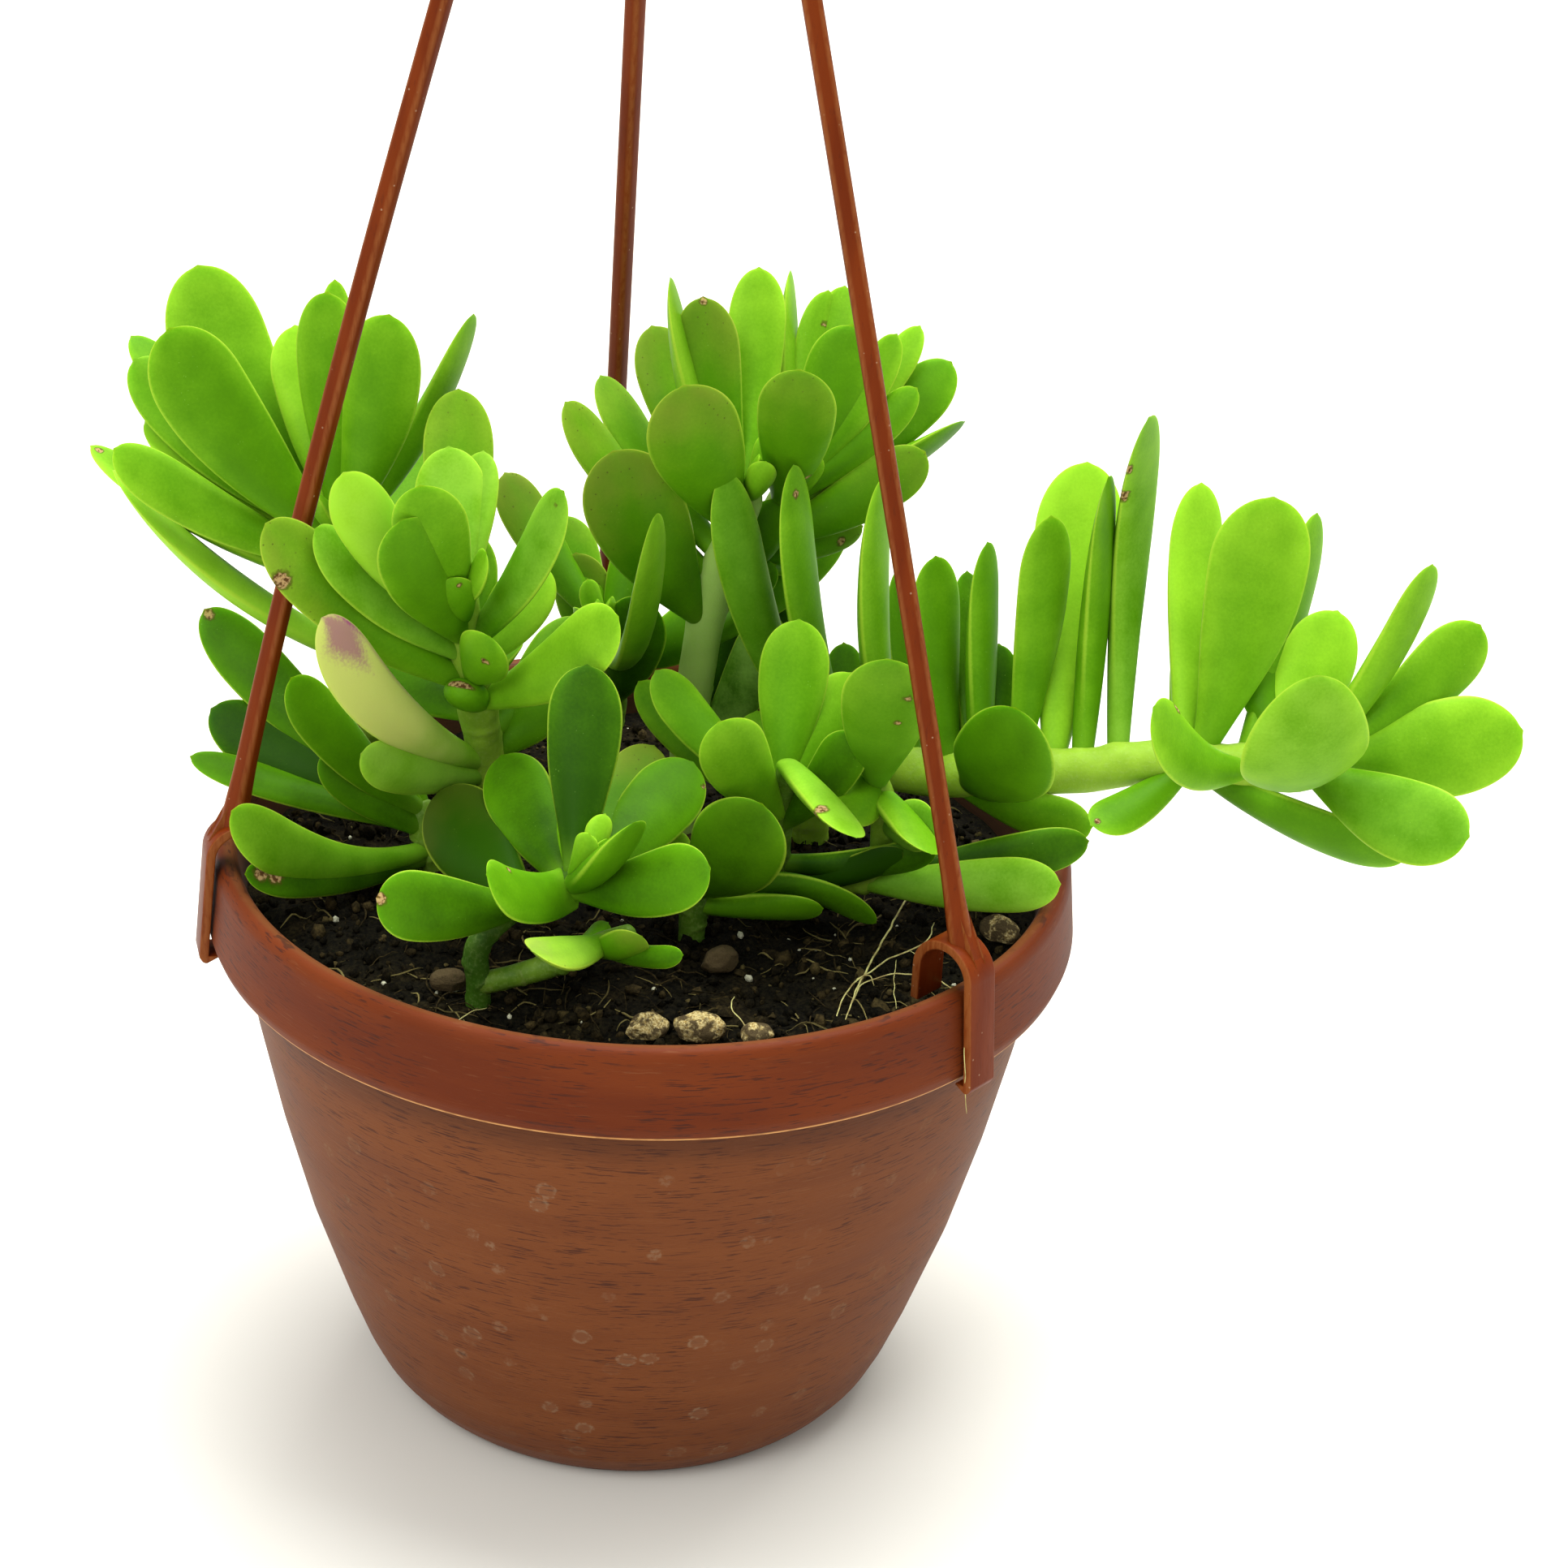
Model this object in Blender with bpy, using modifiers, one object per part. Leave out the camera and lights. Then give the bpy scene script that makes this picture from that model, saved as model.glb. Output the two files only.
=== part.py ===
"""A potted Senecio jacobsenii in a hanging pot: a plastic pot with a turned-out rim band, soil with loose
stones, nine leafy shoots and the plastic hanger, three clipped strands that meet under a hook.

The pot stands on its base. The origin is the centre of the base, +Z is up, -Y is the front, and the long
shoot leans out to +X. Sizes are in millimetres here and are turned into metres where shapes are made.
"""
from math import cos, pi, radians, sin, sqrt

import bmesh
import bpy
import numpy as np
from mathutils import Matrix, Vector

MM = 0.001
GAP = 0.3

# Pot: radius and height along the outside, from the flat base to the ledge under the rim band
POT_SIDE = [(44.7, 0.0), (47.3, 2.5), (49.9, 5.9), (52.2, 10.7), (55.5, 19.4), (62.0, 38.9), (67.1, 58.4),
            (71.3, 77.9), (74.3, 94.4)]
POT_WALL = 2.2
POT_FLOOR = 2.6
INSIDE_POINTS = (3, 5, 7, 8)
POT_STEPS = 36
BAND_LEDGE_R = 78.9
BAND_WIDEST = (79.9, 97.0)
RIM_TOP = 111.5
RIM_PROFILE = [(78.6, 109.6), (77.8, 111.1), (76.8, RIM_TOP), (75.2, 111.2), (74.2, 109.6)]
DRAIN_HOLES = 4
DRAIN_RADIUS = 2.5
DRAIN_CIRCLE = 27.0

# Soil and the loose stones on it: centre x, centre y, length, width, height and turn in degrees
SOIL_TOP = 101.0
SOIL_EDGE_DROP = 1.5
SOIL_FLAT_R = 67.0
HOLE_SIDES = 12
HOLE_CLEARANCE = 0.6
STONES = [(1.5, -55.5, 8.0, 5.0, 4.0, 20), (10.5, -55.5, 9.5, 5.5, 4.5, -5),
          (20.5, -56.5, 6.0, 4.5, 3.5, 0), (14.0, -31.5, 7.5, 5.5, 4.0, 35),
          (65.0, -17.0, 8.0, 5.5, 4.0, -35), (-33.5, -41.5, 6.5, 4.5, 3.5, 10)]
STONE_LUMPS = 0.09
STONE_FULLNESS = 1.4
STONE_LIFT = 0.35

# Hanger: three strands round the rim, each with its angle from the front towards +X and its rod's bow
STRANDS = {"right": (46.8, 0.5), "left": (-77.0, 2.4), "back": (187.1, 0.6)}
APEX = (-4.2, 0.0, 394.5)
ROD_DIAMETER = 3.6
ROD_FOOT_R = 75.4
ROD_FOOT_Z = 118.4
ROD_POINTS = 10
ROD_TOP_CLEARANCE = 0.6
# s (1 - s)^2 is 4/27 at its highest, so this factor makes a rod's largest bow the given one
BOW_FACTOR = 27 / 4
STRAP_WIDTH = 6.6
STRAP_THICK = 1.7
ARCH_CENTRE = (74.0, 113.3)
ARCH_RADIUS = 5.75
ARCH_STEPS = 8
INNER_LEG_Z = 106.5
OUTER_LEG_FOOT = [(82.2, 94.0), (81.6, 92.9), (80.9, 92.6), (78.6, 93.8), (78.9, 94.1), (80.5, 94.1)]
GUSSET = [(74.5, 118.6), (79.6, 116.5), (76.9, 121.5), (74.6, 125.5)]
GUSSET_THICK = 2.4
HUB_RADIUS = 7.5
HUB_Z = (382.0, 391.0)
HUB_SIDES = 20
HOOK_DIAMETER = 4.5
HOOK_RADIUS = 14.0
HOOK_CENTRE_Z = 418.0
HOOK_ARC = (-35, 205)
HOOK_ARC_STEP = 30
# The bar that carries the hook, from inside the hub: how far out to +X and how far above the hub's top
HOOK_RISE = [(0, -4), (0, 4), (5, 12)]

# Leaves: thickness, default bow of the midrib as a share of the length, and stations along the blade
LEAF_THICK = 3.6
LEAF_BOW = 0.05
LEAF_STATIONS = (0.0, 0.35, 0.7, 0.9, 0.98)
WIDE_LEAF = 13.0
HIDDEN_WIDTH = 11.0
HIDDEN_BOW = 0.08
HIDDEN_RISE = 30.0
HIDDEN_RISE_STEP = 12.5
HIDDEN_SHORTER = 0.12
# The side from which the plant was looked at; each leaf's turn is counted from facing it
FACING = Vector((-0.036, -0.890, 0.454))

# Shoots: each has one or more stems with their leaves. A stem has the points that its middle runs through,
# its radius, and its leaves: how far up the stem the leaf grows (0 root, 1 top), the tip's place, the
# blade's width, the turn of its face in degrees and, where it isn't the default, its bow. Leaves at the
# back follow a rule: how many, the middle of their fan from the front towards +X, its spread, their length,
# and the lowest and highest place on the stem.
SHOOTS = {
    "shoot_left_tall": [{
        "points": [(-50, 29, 89), (-50, 29, 103), (-51, 28, 116), (-56, 24, 137), (-57, 21, 153),
                   (-57, 19, 163)],
        "radius": 3.2,
        "leaves": [
            (0.94, (-85, 43, 202), 18, 5, 0.10), (0.92, (-87, 18, 199), 16.5, 0),
            (0.94, (-96, 36, 186), 13, 20), (0.98, (-97, 40, 189), 10, 40),
            (0.87, (-94, 34, 175), 11.5, 55), (0.87, (-97, 15, 177), 10.5, 20),
            (0.82, (-104, 33, 170), 11, 60), (0.60, (-98, 19, 171), 12, 75, 0.06),
            (0.98, (-67, 38, 193), 12, 20), (0.96, (-60, 26, 204), 12, -10),
            (1.00, (-60, 41, 201), 7, 30), (0.98, (-48, 13, 205), 14.5, -10),
            (0.96, (-34, 26, 201), 11, 80),
        ],
        "hidden": (3, 205, 90, 42, 0.72, 0.95),
    }],
    "shoot_centre_left": [{
        "points": [(-28, 4, 89), (-28, 4, 103), (-29, 2, 120), (-31, -3, 139), (-33, -6, 153),
                   (-34, -8, 163)],
        "radius": 3.4,
        "leaves": [
            (0.86, (-53, -21, 189), 11, 0), (0.80, (-58, -20, 178), 10.5, 35),
            (0.71, (-66, -23, 180), 12.8, 15), (0.91, (-40, -23, 188), 13, 0),
            (0.85, (-43, -24, 182), 13.5, 10), (0.96, (-37, 7, 183), 13, 5),
            (0.95, (-31, 8, 182), 8, -20), (0.86, (-36, 17, 190), 12.5, 5),
            (0.83, (-16, -16, 185), 11, -40), (0.96, (-29, -18, 174), 5.5, -40),
            (0.91, (-35, -18, 169), 8, 10), (0.77, (-20, 7, 161), 11, 0),
            (0.72, (-25, 15, 143), 6, -45), (0.74, (-28, -20, 159), 10.5, 0),
            (0.66, (-6, -25, 166), 12.5, -15), (0.49, (-16, 6, 139), 10, -10),
            (0.47, (-56, -30, 166), 11.5, 20, 0.08), (0.43, (-50, -23, 137), 9, -10),
            (0.62, (-51, 14, 140), 12, 20), (0.83, (-25, 23, 147), 6, 0),
            (0.66, (-34, -12, 145), 8, 0),
        ],
        "hidden": (2, 165, 50, 30, 0.55, 0.75),
    }],
    "shoot_back_small": [{
        "points": [(-9, 46, 89), (-9, 46, 103), (-7, 44, 117), (-9, 38, 135)],
        "radius": 2.6,
        "leaves": [
            (1.00, (-29, 54, 159), 9.5, 20), (0.92, (-18, 53, 151), 10, 10),
            (0.73, (-15, 47, 146), 11, 0), (0.85, (0, -3, 176), 9.5, 75, 0.15),
            (0.60, (-2, 32, 144), 12.5, -10),
        ],
        "hidden": (2, 120, 50, 26, 0.80, 0.95),
    }],
    "shoot_centre_back": [{
        "points": [(7, 23, 89), (7, 23, 103), (8, 22, 127), (10, 20, 146), (14, 18, 163), (17, 16, 174)],
        "radius": 3.4,
        "leaves": [
            (0.75, (-17, 23, 186), 10.5, 40), (0.81, (-11, 37, 186), 10.5, 45),
            (0.89, (-2, 37, 196), 11.5, 10), (0.92, (1, 24, 210), 11, 75),
            (0.94, (7, 23, 207), 11.5, -5), (0.89, (4, 0, 199), 17, 0), (0.65, (-8, 8, 183), 18, 0),
            (0.98, (17, 37, 208), 10.5, 5), (0.36, (23, 31, 146), 14, 0), (0.28, (22, 20, 147), 10, 0),
        ],
        "hidden": (2, 160, 60, 38, 0.60, 0.90),
    }, {
        "points": [(10, 20, 146), (15, 22, 155), (20, 23, 163), (24, 24, 170)],
        "radius": 2.8,
        "leaves": [
            (0.94, (23, 45, 205), 11, 80), (0.93, (30, 43, 202), 9.5, 20),
            (0.96, (33, 43, 203), 9.5, -20), (0.93, (34, 28, 201), 12.5, -5),
            (0.97, (42, 27, 200), 7.5, -20), (1.00, (47, 40, 197), 7.5, -25),
            (0.94, (53, 38, 191), 11, -10), (0.94, (46, 24, 191), 7, -10),
            (0.87, (56, 34, 181), 11, 80), (0.60, (48, 21, 180), 10.5, 15),
            (0.91, (24, 2, 202), 14, 0), (0.23, (22, 20, 170), 8.5, 20), (0.62, (27, 43, 162), 6, 0),
            (0.47, (34, 45, 150), 7, 0), (0.46, (38, 28, 162), 6, 30), (0.14, (22, 20, 157), 7.5, 0),
        ],
        "hidden": (2, 165, 80, 38, 0.60, 0.95),
    }],
    "shoot_right_arching": [{
        "points": [(31, 22, 89), (31, 22, 103), (32, 20, 119), (46, 12, 120), (57, 6, 122), (67, 2, 125),
                   (80, 0, 127), (95, 0, 130), (110, -2, 130), (121, -4, 133), (128, -5, 137)],
        "radius": 3.9,
        "leaves": [
            (0.23, (12, 7, 180), 9.5, 15), (0.27, (24, 7, 182), 10.5, 50), (0.29, (36, 28, 138), 7, 0),
            (0.26, (47, 36, 147), 5.5, 40), (0.35, (40, 10, 179), 11, 60),
            (0.38, (46, 32, 152), 8, 40), (0.44, (51, 15, 162), 10.5, 30),
            (0.47, (58, 27, 154), 8.5, 40), (0.48, (60, 13, 166), 11, 60),
            (0.50, (64, 17, 144), 7.5, 0), (0.53, (71, 12, 172), 11, 30),
            (0.58, (79, 31, 175), 17, 10), (0.62, (80, 7, 182), 11, 65, 0.13),
            (0.67, (86, 6, 194), 12, 52, 0.18), (0.76, (100, 28, 173), 12, 30),
            (0.78, (110, 8, 179), 18, 0), (0.84, (121, 23, 170), 11.5, 55),
            (0.87, (125, 13, 155), 14.5, 10), (0.93, (138, -1, 171), 11, 55),
            (0.96, (150, 7, 156), 12.5, 15), (0.97, (158, -3, 140), 18, 0),
            (0.92, (114, -32, 163), 23, 0, 0.20), (0.92, (145, -28, 131), 15, 0),
            (0.77, (138, -12, 118), 11, 50), (0.85, (88, -22, 151), 12.5, 25, 0.12),
            (0.77, (80, -15, 124), 8.5, 25, 0.08), (0.46, (64, -20, 149), 19, 0, 0.15),
            (0.43, (81, -8, 120), 9, 20),
        ],
        "hidden": (2, 185, 40, 38, 0.75, 0.90),
    }],
    "shoot_centre": [{
        "points": [(23, -10, 89), (23, -10, 103), (24, -12, 116), (24, -15, 127), (25, -18, 135)],
        "radius": 2.3,
        "leaves": [
            (0.86, (26, -4, 157), 12.5, 0), (0.85, (36, -2, 146), 13, 30),
            (0.79, (1, -4, 146), 9.5, 30), (0.72, (-2, 8, 138), 8.5, 15), (0.74, (12, -32, 150), 12.5, 0),
            (1.00, (36, -44, 135), 8.5, -60, 0.0), (0.68, (36, -22, 144), 9, 0),
            (0.49, (52, -18, 119), 6.5, 30), (0.38, (46, -18, 119), 6, 30),
        ],
        "hidden": (1, 190, 0, 28, 0.60, 0.60),
    }, {
        "points": [(24, -12, 106), (33, -11, 108), (42, -12, 111), (43, -12, 122), (40, -13, 133)],
        "radius": 2.6,
        "leaves": [
            (0.92, (40, -36, 165), 15.5, 0), (0.86, (50, -34, 127), 9, -60, 0.0),
            (0.70, (51, -24, 129), 9.5, 0), (0.95, (35, -24, 128), 9, 0),
            (0.45, (80, -12, 119), 8.5, 10, 0.02), (0.35, (74, -25, 117), 10, 0, 0.02),
        ],
    }],
    "shoot_front": [{
        "points": [(-28, -45, 89), (-28, -45, 103), (-28, -45, 112), (-22, -43, 118), (-14, -42, 121),
                   (-11, -42, 126)],
        "radius": 2.2,
        "leaves": [
            (0.95, (-11, -26, 157), 13, 0), (0.92, (-26, -12, 132), 12.5, 0),
            (0.93, (8, -14, 133), 13, -5), (0.97, (-13, -19, 130), 9, 10),
            (0.95, (1, -10, 134), 11, 0), (0.91, (-2, -55, 142), 11, 76),
            (0.90, (11, -57, 135), 12, -10), (0.90, (-26, -62, 135), 10.5, 35, 0.10),
            (0.76, (-44, -64, 131), 12, 0), (0.75, (-37, -11, 124), 15.5, 0),
        ],
    }, {
        "points": [(-28, -45, 104), (-15, -46, 109), (-6, -48, 115), (-1, -48, 117)],
        "radius": 2.1,
        "leaves": [
            (0.82, (-18, -66, 123), 9.5, 55), (0.75, (0, -58, 122), 7, 40),
            (0.58, (-6, -34, 111), 4, 0), (0.77, (7, -62, 121), 4, 0),
        ],
    }],
    "shoot_left_low": [{
        "points": [(-39, 4, 89), (-39, 4, 102), (-40, 4, 109), (-42, 6, 113)],
        "radius": 2.6,
        "leaves": [
            (0.96, (-83, 26, 141), 11.5, 10), (0.90, (-81, 17, 125), 12, 10),
            (0.80, (-84, 9, 119), 7, 30, 0.02), (0.90, (-64, -4, 142), 10, 20),
            (0.76, (-59, 0, 125), 9, 10), (0.62, (-72, -29, 128), 10.5, 0, 0.13),
            (0.57, (-70, -28, 115), 7.5, 10),
        ],
        "hidden": (1, 240, 0, 34, 0.90, 0.90),
    }],
    "shoot_low_small": [{
        "points": [(9, -20, 89), (9, -20, 102), (9, -20, 107), (8, -20, 111)],
        "radius": 2.4,
        "leaves": [
            (0.98, (20, -33, 135), 17.5, 0), (0.84, (32, -26, 111), 7, 50, 0.0),
            (0.92, (42, -20, 105), 6.5, 50, -0.15),
        ],
    }],
}


def clear_scene():
    """Remove every object that the new scene starts with."""
    for obj in list(bpy.data.objects):
        bpy.data.objects.remove(obj)


def collection(name):
    group = bpy.data.collections.new(name)
    bpy.context.scene.collection.children.link(group)
    return group


def material(name, colour, roughness):
    """A Principled material; none of the pieces is metal."""
    mat = bpy.data.materials.new(name)
    mat.use_nodes = True
    shader = mat.node_tree.nodes["Principled BSDF"]
    shader.inputs["Base Color"].default_value = (*colour, 1.0)
    shader.inputs["Roughness"].default_value = roughness
    shader.inputs["Metallic"].default_value = 0.0
    mat.diffuse_color = (*colour, 1.0)
    return mat


def place(name, mesh, mat, group):
    """An object that holds the mesh, with its one material, in the collection."""
    obj = bpy.data.objects.new(name, mesh)
    mesh.materials.clear()
    mesh.materials.append(mat)
    group.objects.link(obj)
    return obj


def turned(name, profile, mat, group):
    """A solid of revolution: the profile of (radius, height), from one end on the axis to the other."""
    mesh = bpy.data.meshes.new(name)
    points = [(radius * MM, 0.0, height * MM) for radius, height in profile]
    edges = [(i, i + 1) for i in range(len(points) - 1)]
    mesh.from_pydata(points, edges, [])
    obj = place(name, mesh, mat, group)
    screw = obj.modifiers.new("turn", "SCREW")
    screw.axis = "Z"
    screw.angle = 2 * pi
    screw.steps = POT_STEPS
    screw.render_steps = POT_STEPS
    screw.use_merge_vertices = True
    screw.merge_threshold = 0.00001
    screw.use_smooth_shade = True
    return obj


def tube_mesh(name, points, radius, sides=8, shrink=0.0):
    """A round bar along the points: a curve with filled caps, turned into a closed mesh. Its radius falls
    by the share shrink over the last quarter."""
    curve = bpy.data.curves.new(name, "CURVE")
    curve.dimensions = "3D"
    curve.bevel_depth = radius * MM
    curve.bevel_resolution = sides // 2 - 2
    curve.use_fill_caps = True
    spline = curve.splines.new("POLY")
    spline.points.add(len(points) - 1)
    for i, point in enumerate(points):
        spline.points[i].co = (*(Vector(point) * MM), 1.0)
        share = i / (len(points) - 1)
        spline.points[i].radius = 1.0 - shrink * max(0.0, (share - 0.75) / 0.25)
    return curve_mesh(name, curve)


def outline_mesh(name, points, thick, matrix):
    """A flat piece of the given thickness, its outline (along X, along Y) drawn in the matrix's plane."""
    curve = bpy.data.curves.new(name, "CURVE")
    curve.dimensions = "2D"
    curve.fill_mode = "BOTH"
    curve.extrude = thick / 2 * MM
    spline = curve.splines.new("POLY")
    spline.points.add(len(points) - 1)
    for i, (x, y) in enumerate(points):
        spline.points[i].co = (x * MM, y * MM, 0.0, 1.0)
    spline.use_cyclic_u = True
    return curve_mesh(name, curve, matrix)


def curve_mesh(name, curve, matrix=Matrix()):
    """The curve as a closed mesh in world space, its loose caps welded on."""
    obj = bpy.data.objects.new(name, curve)
    bpy.context.scene.collection.objects.link(obj)
    obj.matrix_world = matrix
    bpy.context.view_layer.update()
    graph = bpy.context.evaluated_depsgraph_get()
    mesh = bpy.data.meshes.new_from_object(obj.evaluated_get(graph))
    mesh.transform(matrix)
    bpy.data.objects.remove(obj)
    bpy.data.curves.remove(curve)
    shape = bmesh.new()
    shape.from_mesh(mesh)
    bmesh.ops.remove_doubles(shape, verts=shape.verts, dist=0.00001)
    bmesh.ops.recalc_face_normals(shape, faces=shape.faces)
    shape.to_mesh(mesh)
    shape.free()
    return mesh


def fuse(obj, meshes):
    """Join the meshes to the object with one union, and keep the largest closed skin of the result: loose
    scraps are dropped and hollows that the union sealed are filled."""
    group = collection(obj.name + "_pieces")
    for i, mesh in enumerate(meshes):
        group.objects.link(bpy.data.objects.new(f"{obj.name}_piece_{i}", mesh))
    union = obj.modifiers.new("pieces", "BOOLEAN")
    union.operation = "UNION"
    union.operand_type = "COLLECTION"
    union.collection = group
    union.solver = "EXACT"
    bpy.context.view_layer.update()
    graph = bpy.context.evaluated_depsgraph_get()
    joined = bpy.data.meshes.new_from_object(obj.evaluated_get(graph))
    obj.modifiers.clear()
    for piece in list(group.objects):
        bpy.data.objects.remove(piece)
    bpy.data.collections.remove(group)
    keep_outer_skin(joined)
    obj.data = joined
    smooth(joined)


def keep_outer_skin(mesh):
    """Weld points closer than 0.02 mm and remove every skin but the one that reaches furthest."""
    shape = bmesh.new()
    shape.from_mesh(mesh)
    bmesh.ops.remove_doubles(shape, verts=shape.verts, dist=0.00002)
    bmesh.ops.dissolve_degenerate(shape, edges=shape.edges, dist=0.00001)
    left = set(shape.verts)
    skins = []
    while left:
        skin = {left.pop()}
        border = list(skin)
        while border:
            for edge in border.pop().link_edges:
                for vert in edge.verts:
                    if vert in left:
                        left.remove(vert)
                        skin.add(vert)
                        border.append(vert)
        skins.append(skin)
    outer = max(skins, key=skin_size)
    inner = [vert for skin in skins if skin is not outer for vert in skin]
    bmesh.ops.delete(shape, geom=inner, context="VERTS")
    shape.to_mesh(mesh)
    shape.free()


def skin_size(skin):
    spots = np.array([vert.co for vert in skin])
    return float(np.linalg.norm(spots.max(axis=0) - spots.min(axis=0)))


def smooth(mesh, angle=40):
    mesh.shade_smooth()
    mesh.set_sharp_from_angle(angle=radians(angle))


def cylinder_mesh(name, radius, low, high, x, y, sides):
    """An upright cylinder round (x, y) between two heights."""
    shape = bmesh.new()
    middle = Matrix.Translation(Vector((x, y, (low + high) / 2)) * MM)
    bmesh.ops.create_cone(shape, cap_ends=True, segments=sides, radius1=radius * MM, radius2=radius * MM,
                          depth=(high - low) * MM, matrix=middle)
    mesh = bpy.data.meshes.new(name)
    shape.to_mesh(mesh)
    shape.free()
    return mesh


def drill(obj, meshes, cutters):
    """Cut the meshes out of the object with one live Boolean; the cutters aren't rendered."""
    group = bpy.data.collections.new(obj.name + "_cutters")
    cutters.children.link(group)
    for mesh in meshes:
        cutter = bpy.data.objects.new(mesh.name, mesh)
        cutter.hide_render = True
        cutter.display_type = "WIRE"
        group.objects.link(cutter)
    cut = obj.modifiers.new("holes", "BOOLEAN")
    cut.operation = "DIFFERENCE"
    cut.operand_type = "COLLECTION"
    cut.collection = group
    cut.solver = "EXACT"


def stem_line(points, count=60):
    """Points along a smooth curve that passes through the given ones, as an array."""
    nodes = [Vector(p) for p in points]
    nodes = [2 * nodes[0] - nodes[1], *nodes, 2 * nodes[-1] - nodes[-2]]
    steps = count // (len(points) - 1) + 1
    line = []
    for a, b, c, d in zip(nodes, nodes[1:], nodes[2:], nodes[3:]):
        for k in range(steps):
            t = k / steps
            line.append(0.5 * (2 * b + (c - a) * t + (2 * a - 5 * b + 4 * c - d) * t ** 2
                               + (3 * b - 3 * c + d - a) * t ** 3))
    line.append(nodes[-2])
    return np.array(line)


def along(line, share):
    """The place on the line that lies the given share of its length from its start."""
    steps = np.linalg.norm(np.diff(line, axis=0), axis=1)
    travelled = np.concatenate([[0.0], np.cumsum(steps)])
    wanted = share * travelled[-1]
    return Vector([float(np.interp(wanted, travelled, line[:, k])) for k in range(3)])


def blade_half_width(s, width, peak):
    """Half the blade's width at the share s of its length: narrow at the foot, widest at peak, with a round
    tip."""
    if s <= peak:
        share = 0.30 + 0.70 * sin(pi / 2 * s / peak) ** 1.4
    else:
        share = sqrt(max(0.0, 1.0 - ((s - peak) / (1.0 - peak)) ** 2.2))
    return max(width / 2 * share, 0.4)


def leaf_mesh(name, foot, tip, width, turn=0.0, bow=LEAF_BOW, sides=None):
    """A fleshy leaf: elliptic sections along a bowed midrib, wide and flat towards the round end, closed at
    its foot, which is sunk in the stem, and at its tip."""
    length = (tip - foot).length
    run = (tip - foot) / length
    face = (FACING - FACING.dot(run) * run).normalized()
    across = run.cross(face)
    normal = face * cos(radians(turn)) + across * sin(radians(turn))
    across = run.cross(normal)
    sag = Vector((run.x, run.y, 0.0)) - Vector((0.0, 0.0, 1.0))
    sag = (sag - sag.dot(run) * run).normalized()
    peak = min(max(1.0 - 0.72 * width / length, 0.58), 0.76)
    if sides is None:
        sides = 6 if width >= WIDE_LEAF else 4
    points = []
    for s in LEAF_STATIONS:
        middle = foot + run * length * s + sag * bow * length * 4 * s * (1 - s)
        half = blade_half_width(s, width, peak)
        thick = LEAF_THICK / 2 * sqrt(1 - s ** 5)
        for k in range(sides):
            angle = 2 * pi * k / sides
            points.append(middle + across * half * cos(angle) + normal * thick * sin(angle))
    points.append(tip)
    faces = []
    for ring in range(len(LEAF_STATIONS) - 1):
        for k in range(sides):
            here = ring * sides + k
            side = ring * sides + (k + 1) % sides
            faces += [(here, side + sides, side), (here, here + sides, side + sides)]
    last = (len(LEAF_STATIONS) - 1) * sides
    faces += [(last + (k + 1) % sides, last + k, len(points) - 1) for k in range(sides)]
    faces += [(0, k, k + 1) for k in range(1, sides - 1)]
    mesh = bpy.data.meshes.new(name)
    mesh.from_pydata([point * MM for point in points], [], faces)
    return mesh


def hidden_leaves(name, line, count, middle, spread, length, low, high):
    """The leaves at the back of a head: a fan of equal turns, rising and shortening by turns."""
    meshes = []
    for k in range(count):
        share = k / (count - 1) if count > 1 else 0.5
        azimuth = radians(middle + (share - 0.5) * spread)
        rise = radians(HIDDEN_RISE + HIDDEN_RISE_STEP * (2 * k % 3))
        reach = length * (1 - HIDDEN_SHORTER * (k % 2))
        foot = along(line, low + (high - low) * share)
        level = Vector((sin(azimuth), -cos(azimuth), 0.0)) * cos(rise)
        tip = foot + (level + Vector((0.0, 0.0, sin(rise)))) * reach
        meshes.append(leaf_mesh(f"{name}_back_{k}", foot, tip, HIDDEN_WIDTH, bow=HIDDEN_BOW, sides=4))
    return meshes


def stem_parts(name, stem):
    """The stem's own tube and its leaves, as closed meshes that overlap."""
    line = stem_line(stem["points"])
    every = max(1, len(line) // 11)
    spots = [*line[:-1:every], line[-1]]
    tube = tube_mesh(name + "_tube", spots, stem["radius"], shrink=0.15)
    leaves = []
    for k, (share, tip, width, turn, *bow) in enumerate(stem["leaves"]):
        mesh = leaf_mesh(f"{name}_leaf_{k}", along(line, share), Vector(tip), width, turn, *bow)
        leaves.append(mesh)
    if "hidden" in stem:
        leaves += hidden_leaves(name, line, *stem["hidden"])
    return tube, leaves


def build_shoots(mat, group):
    for name, stems in SHOOTS.items():
        tube, leaves = stem_parts(name, stems[0])
        for i, branch in enumerate(stems[1:]):
            branch_tube, branch_leaves = stem_parts(f"{name}_branch_{i}", branch)
            leaves += [branch_tube, *branch_leaves]
        shoot = place(name, tube, mat, group)
        fuse(shoot, leaves)


def inside_points(gap):
    """The pot's inside from the floor's edge to the top of the wall, or what lies the gap inside it."""
    wall = [POT_SIDE[i] for i in INSIDE_POINTS]
    corner = (POT_SIDE[0][0] - gap, POT_FLOOR + gap)
    return [corner, *((radius - POT_WALL - gap, height) for radius, height in wall)]


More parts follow.
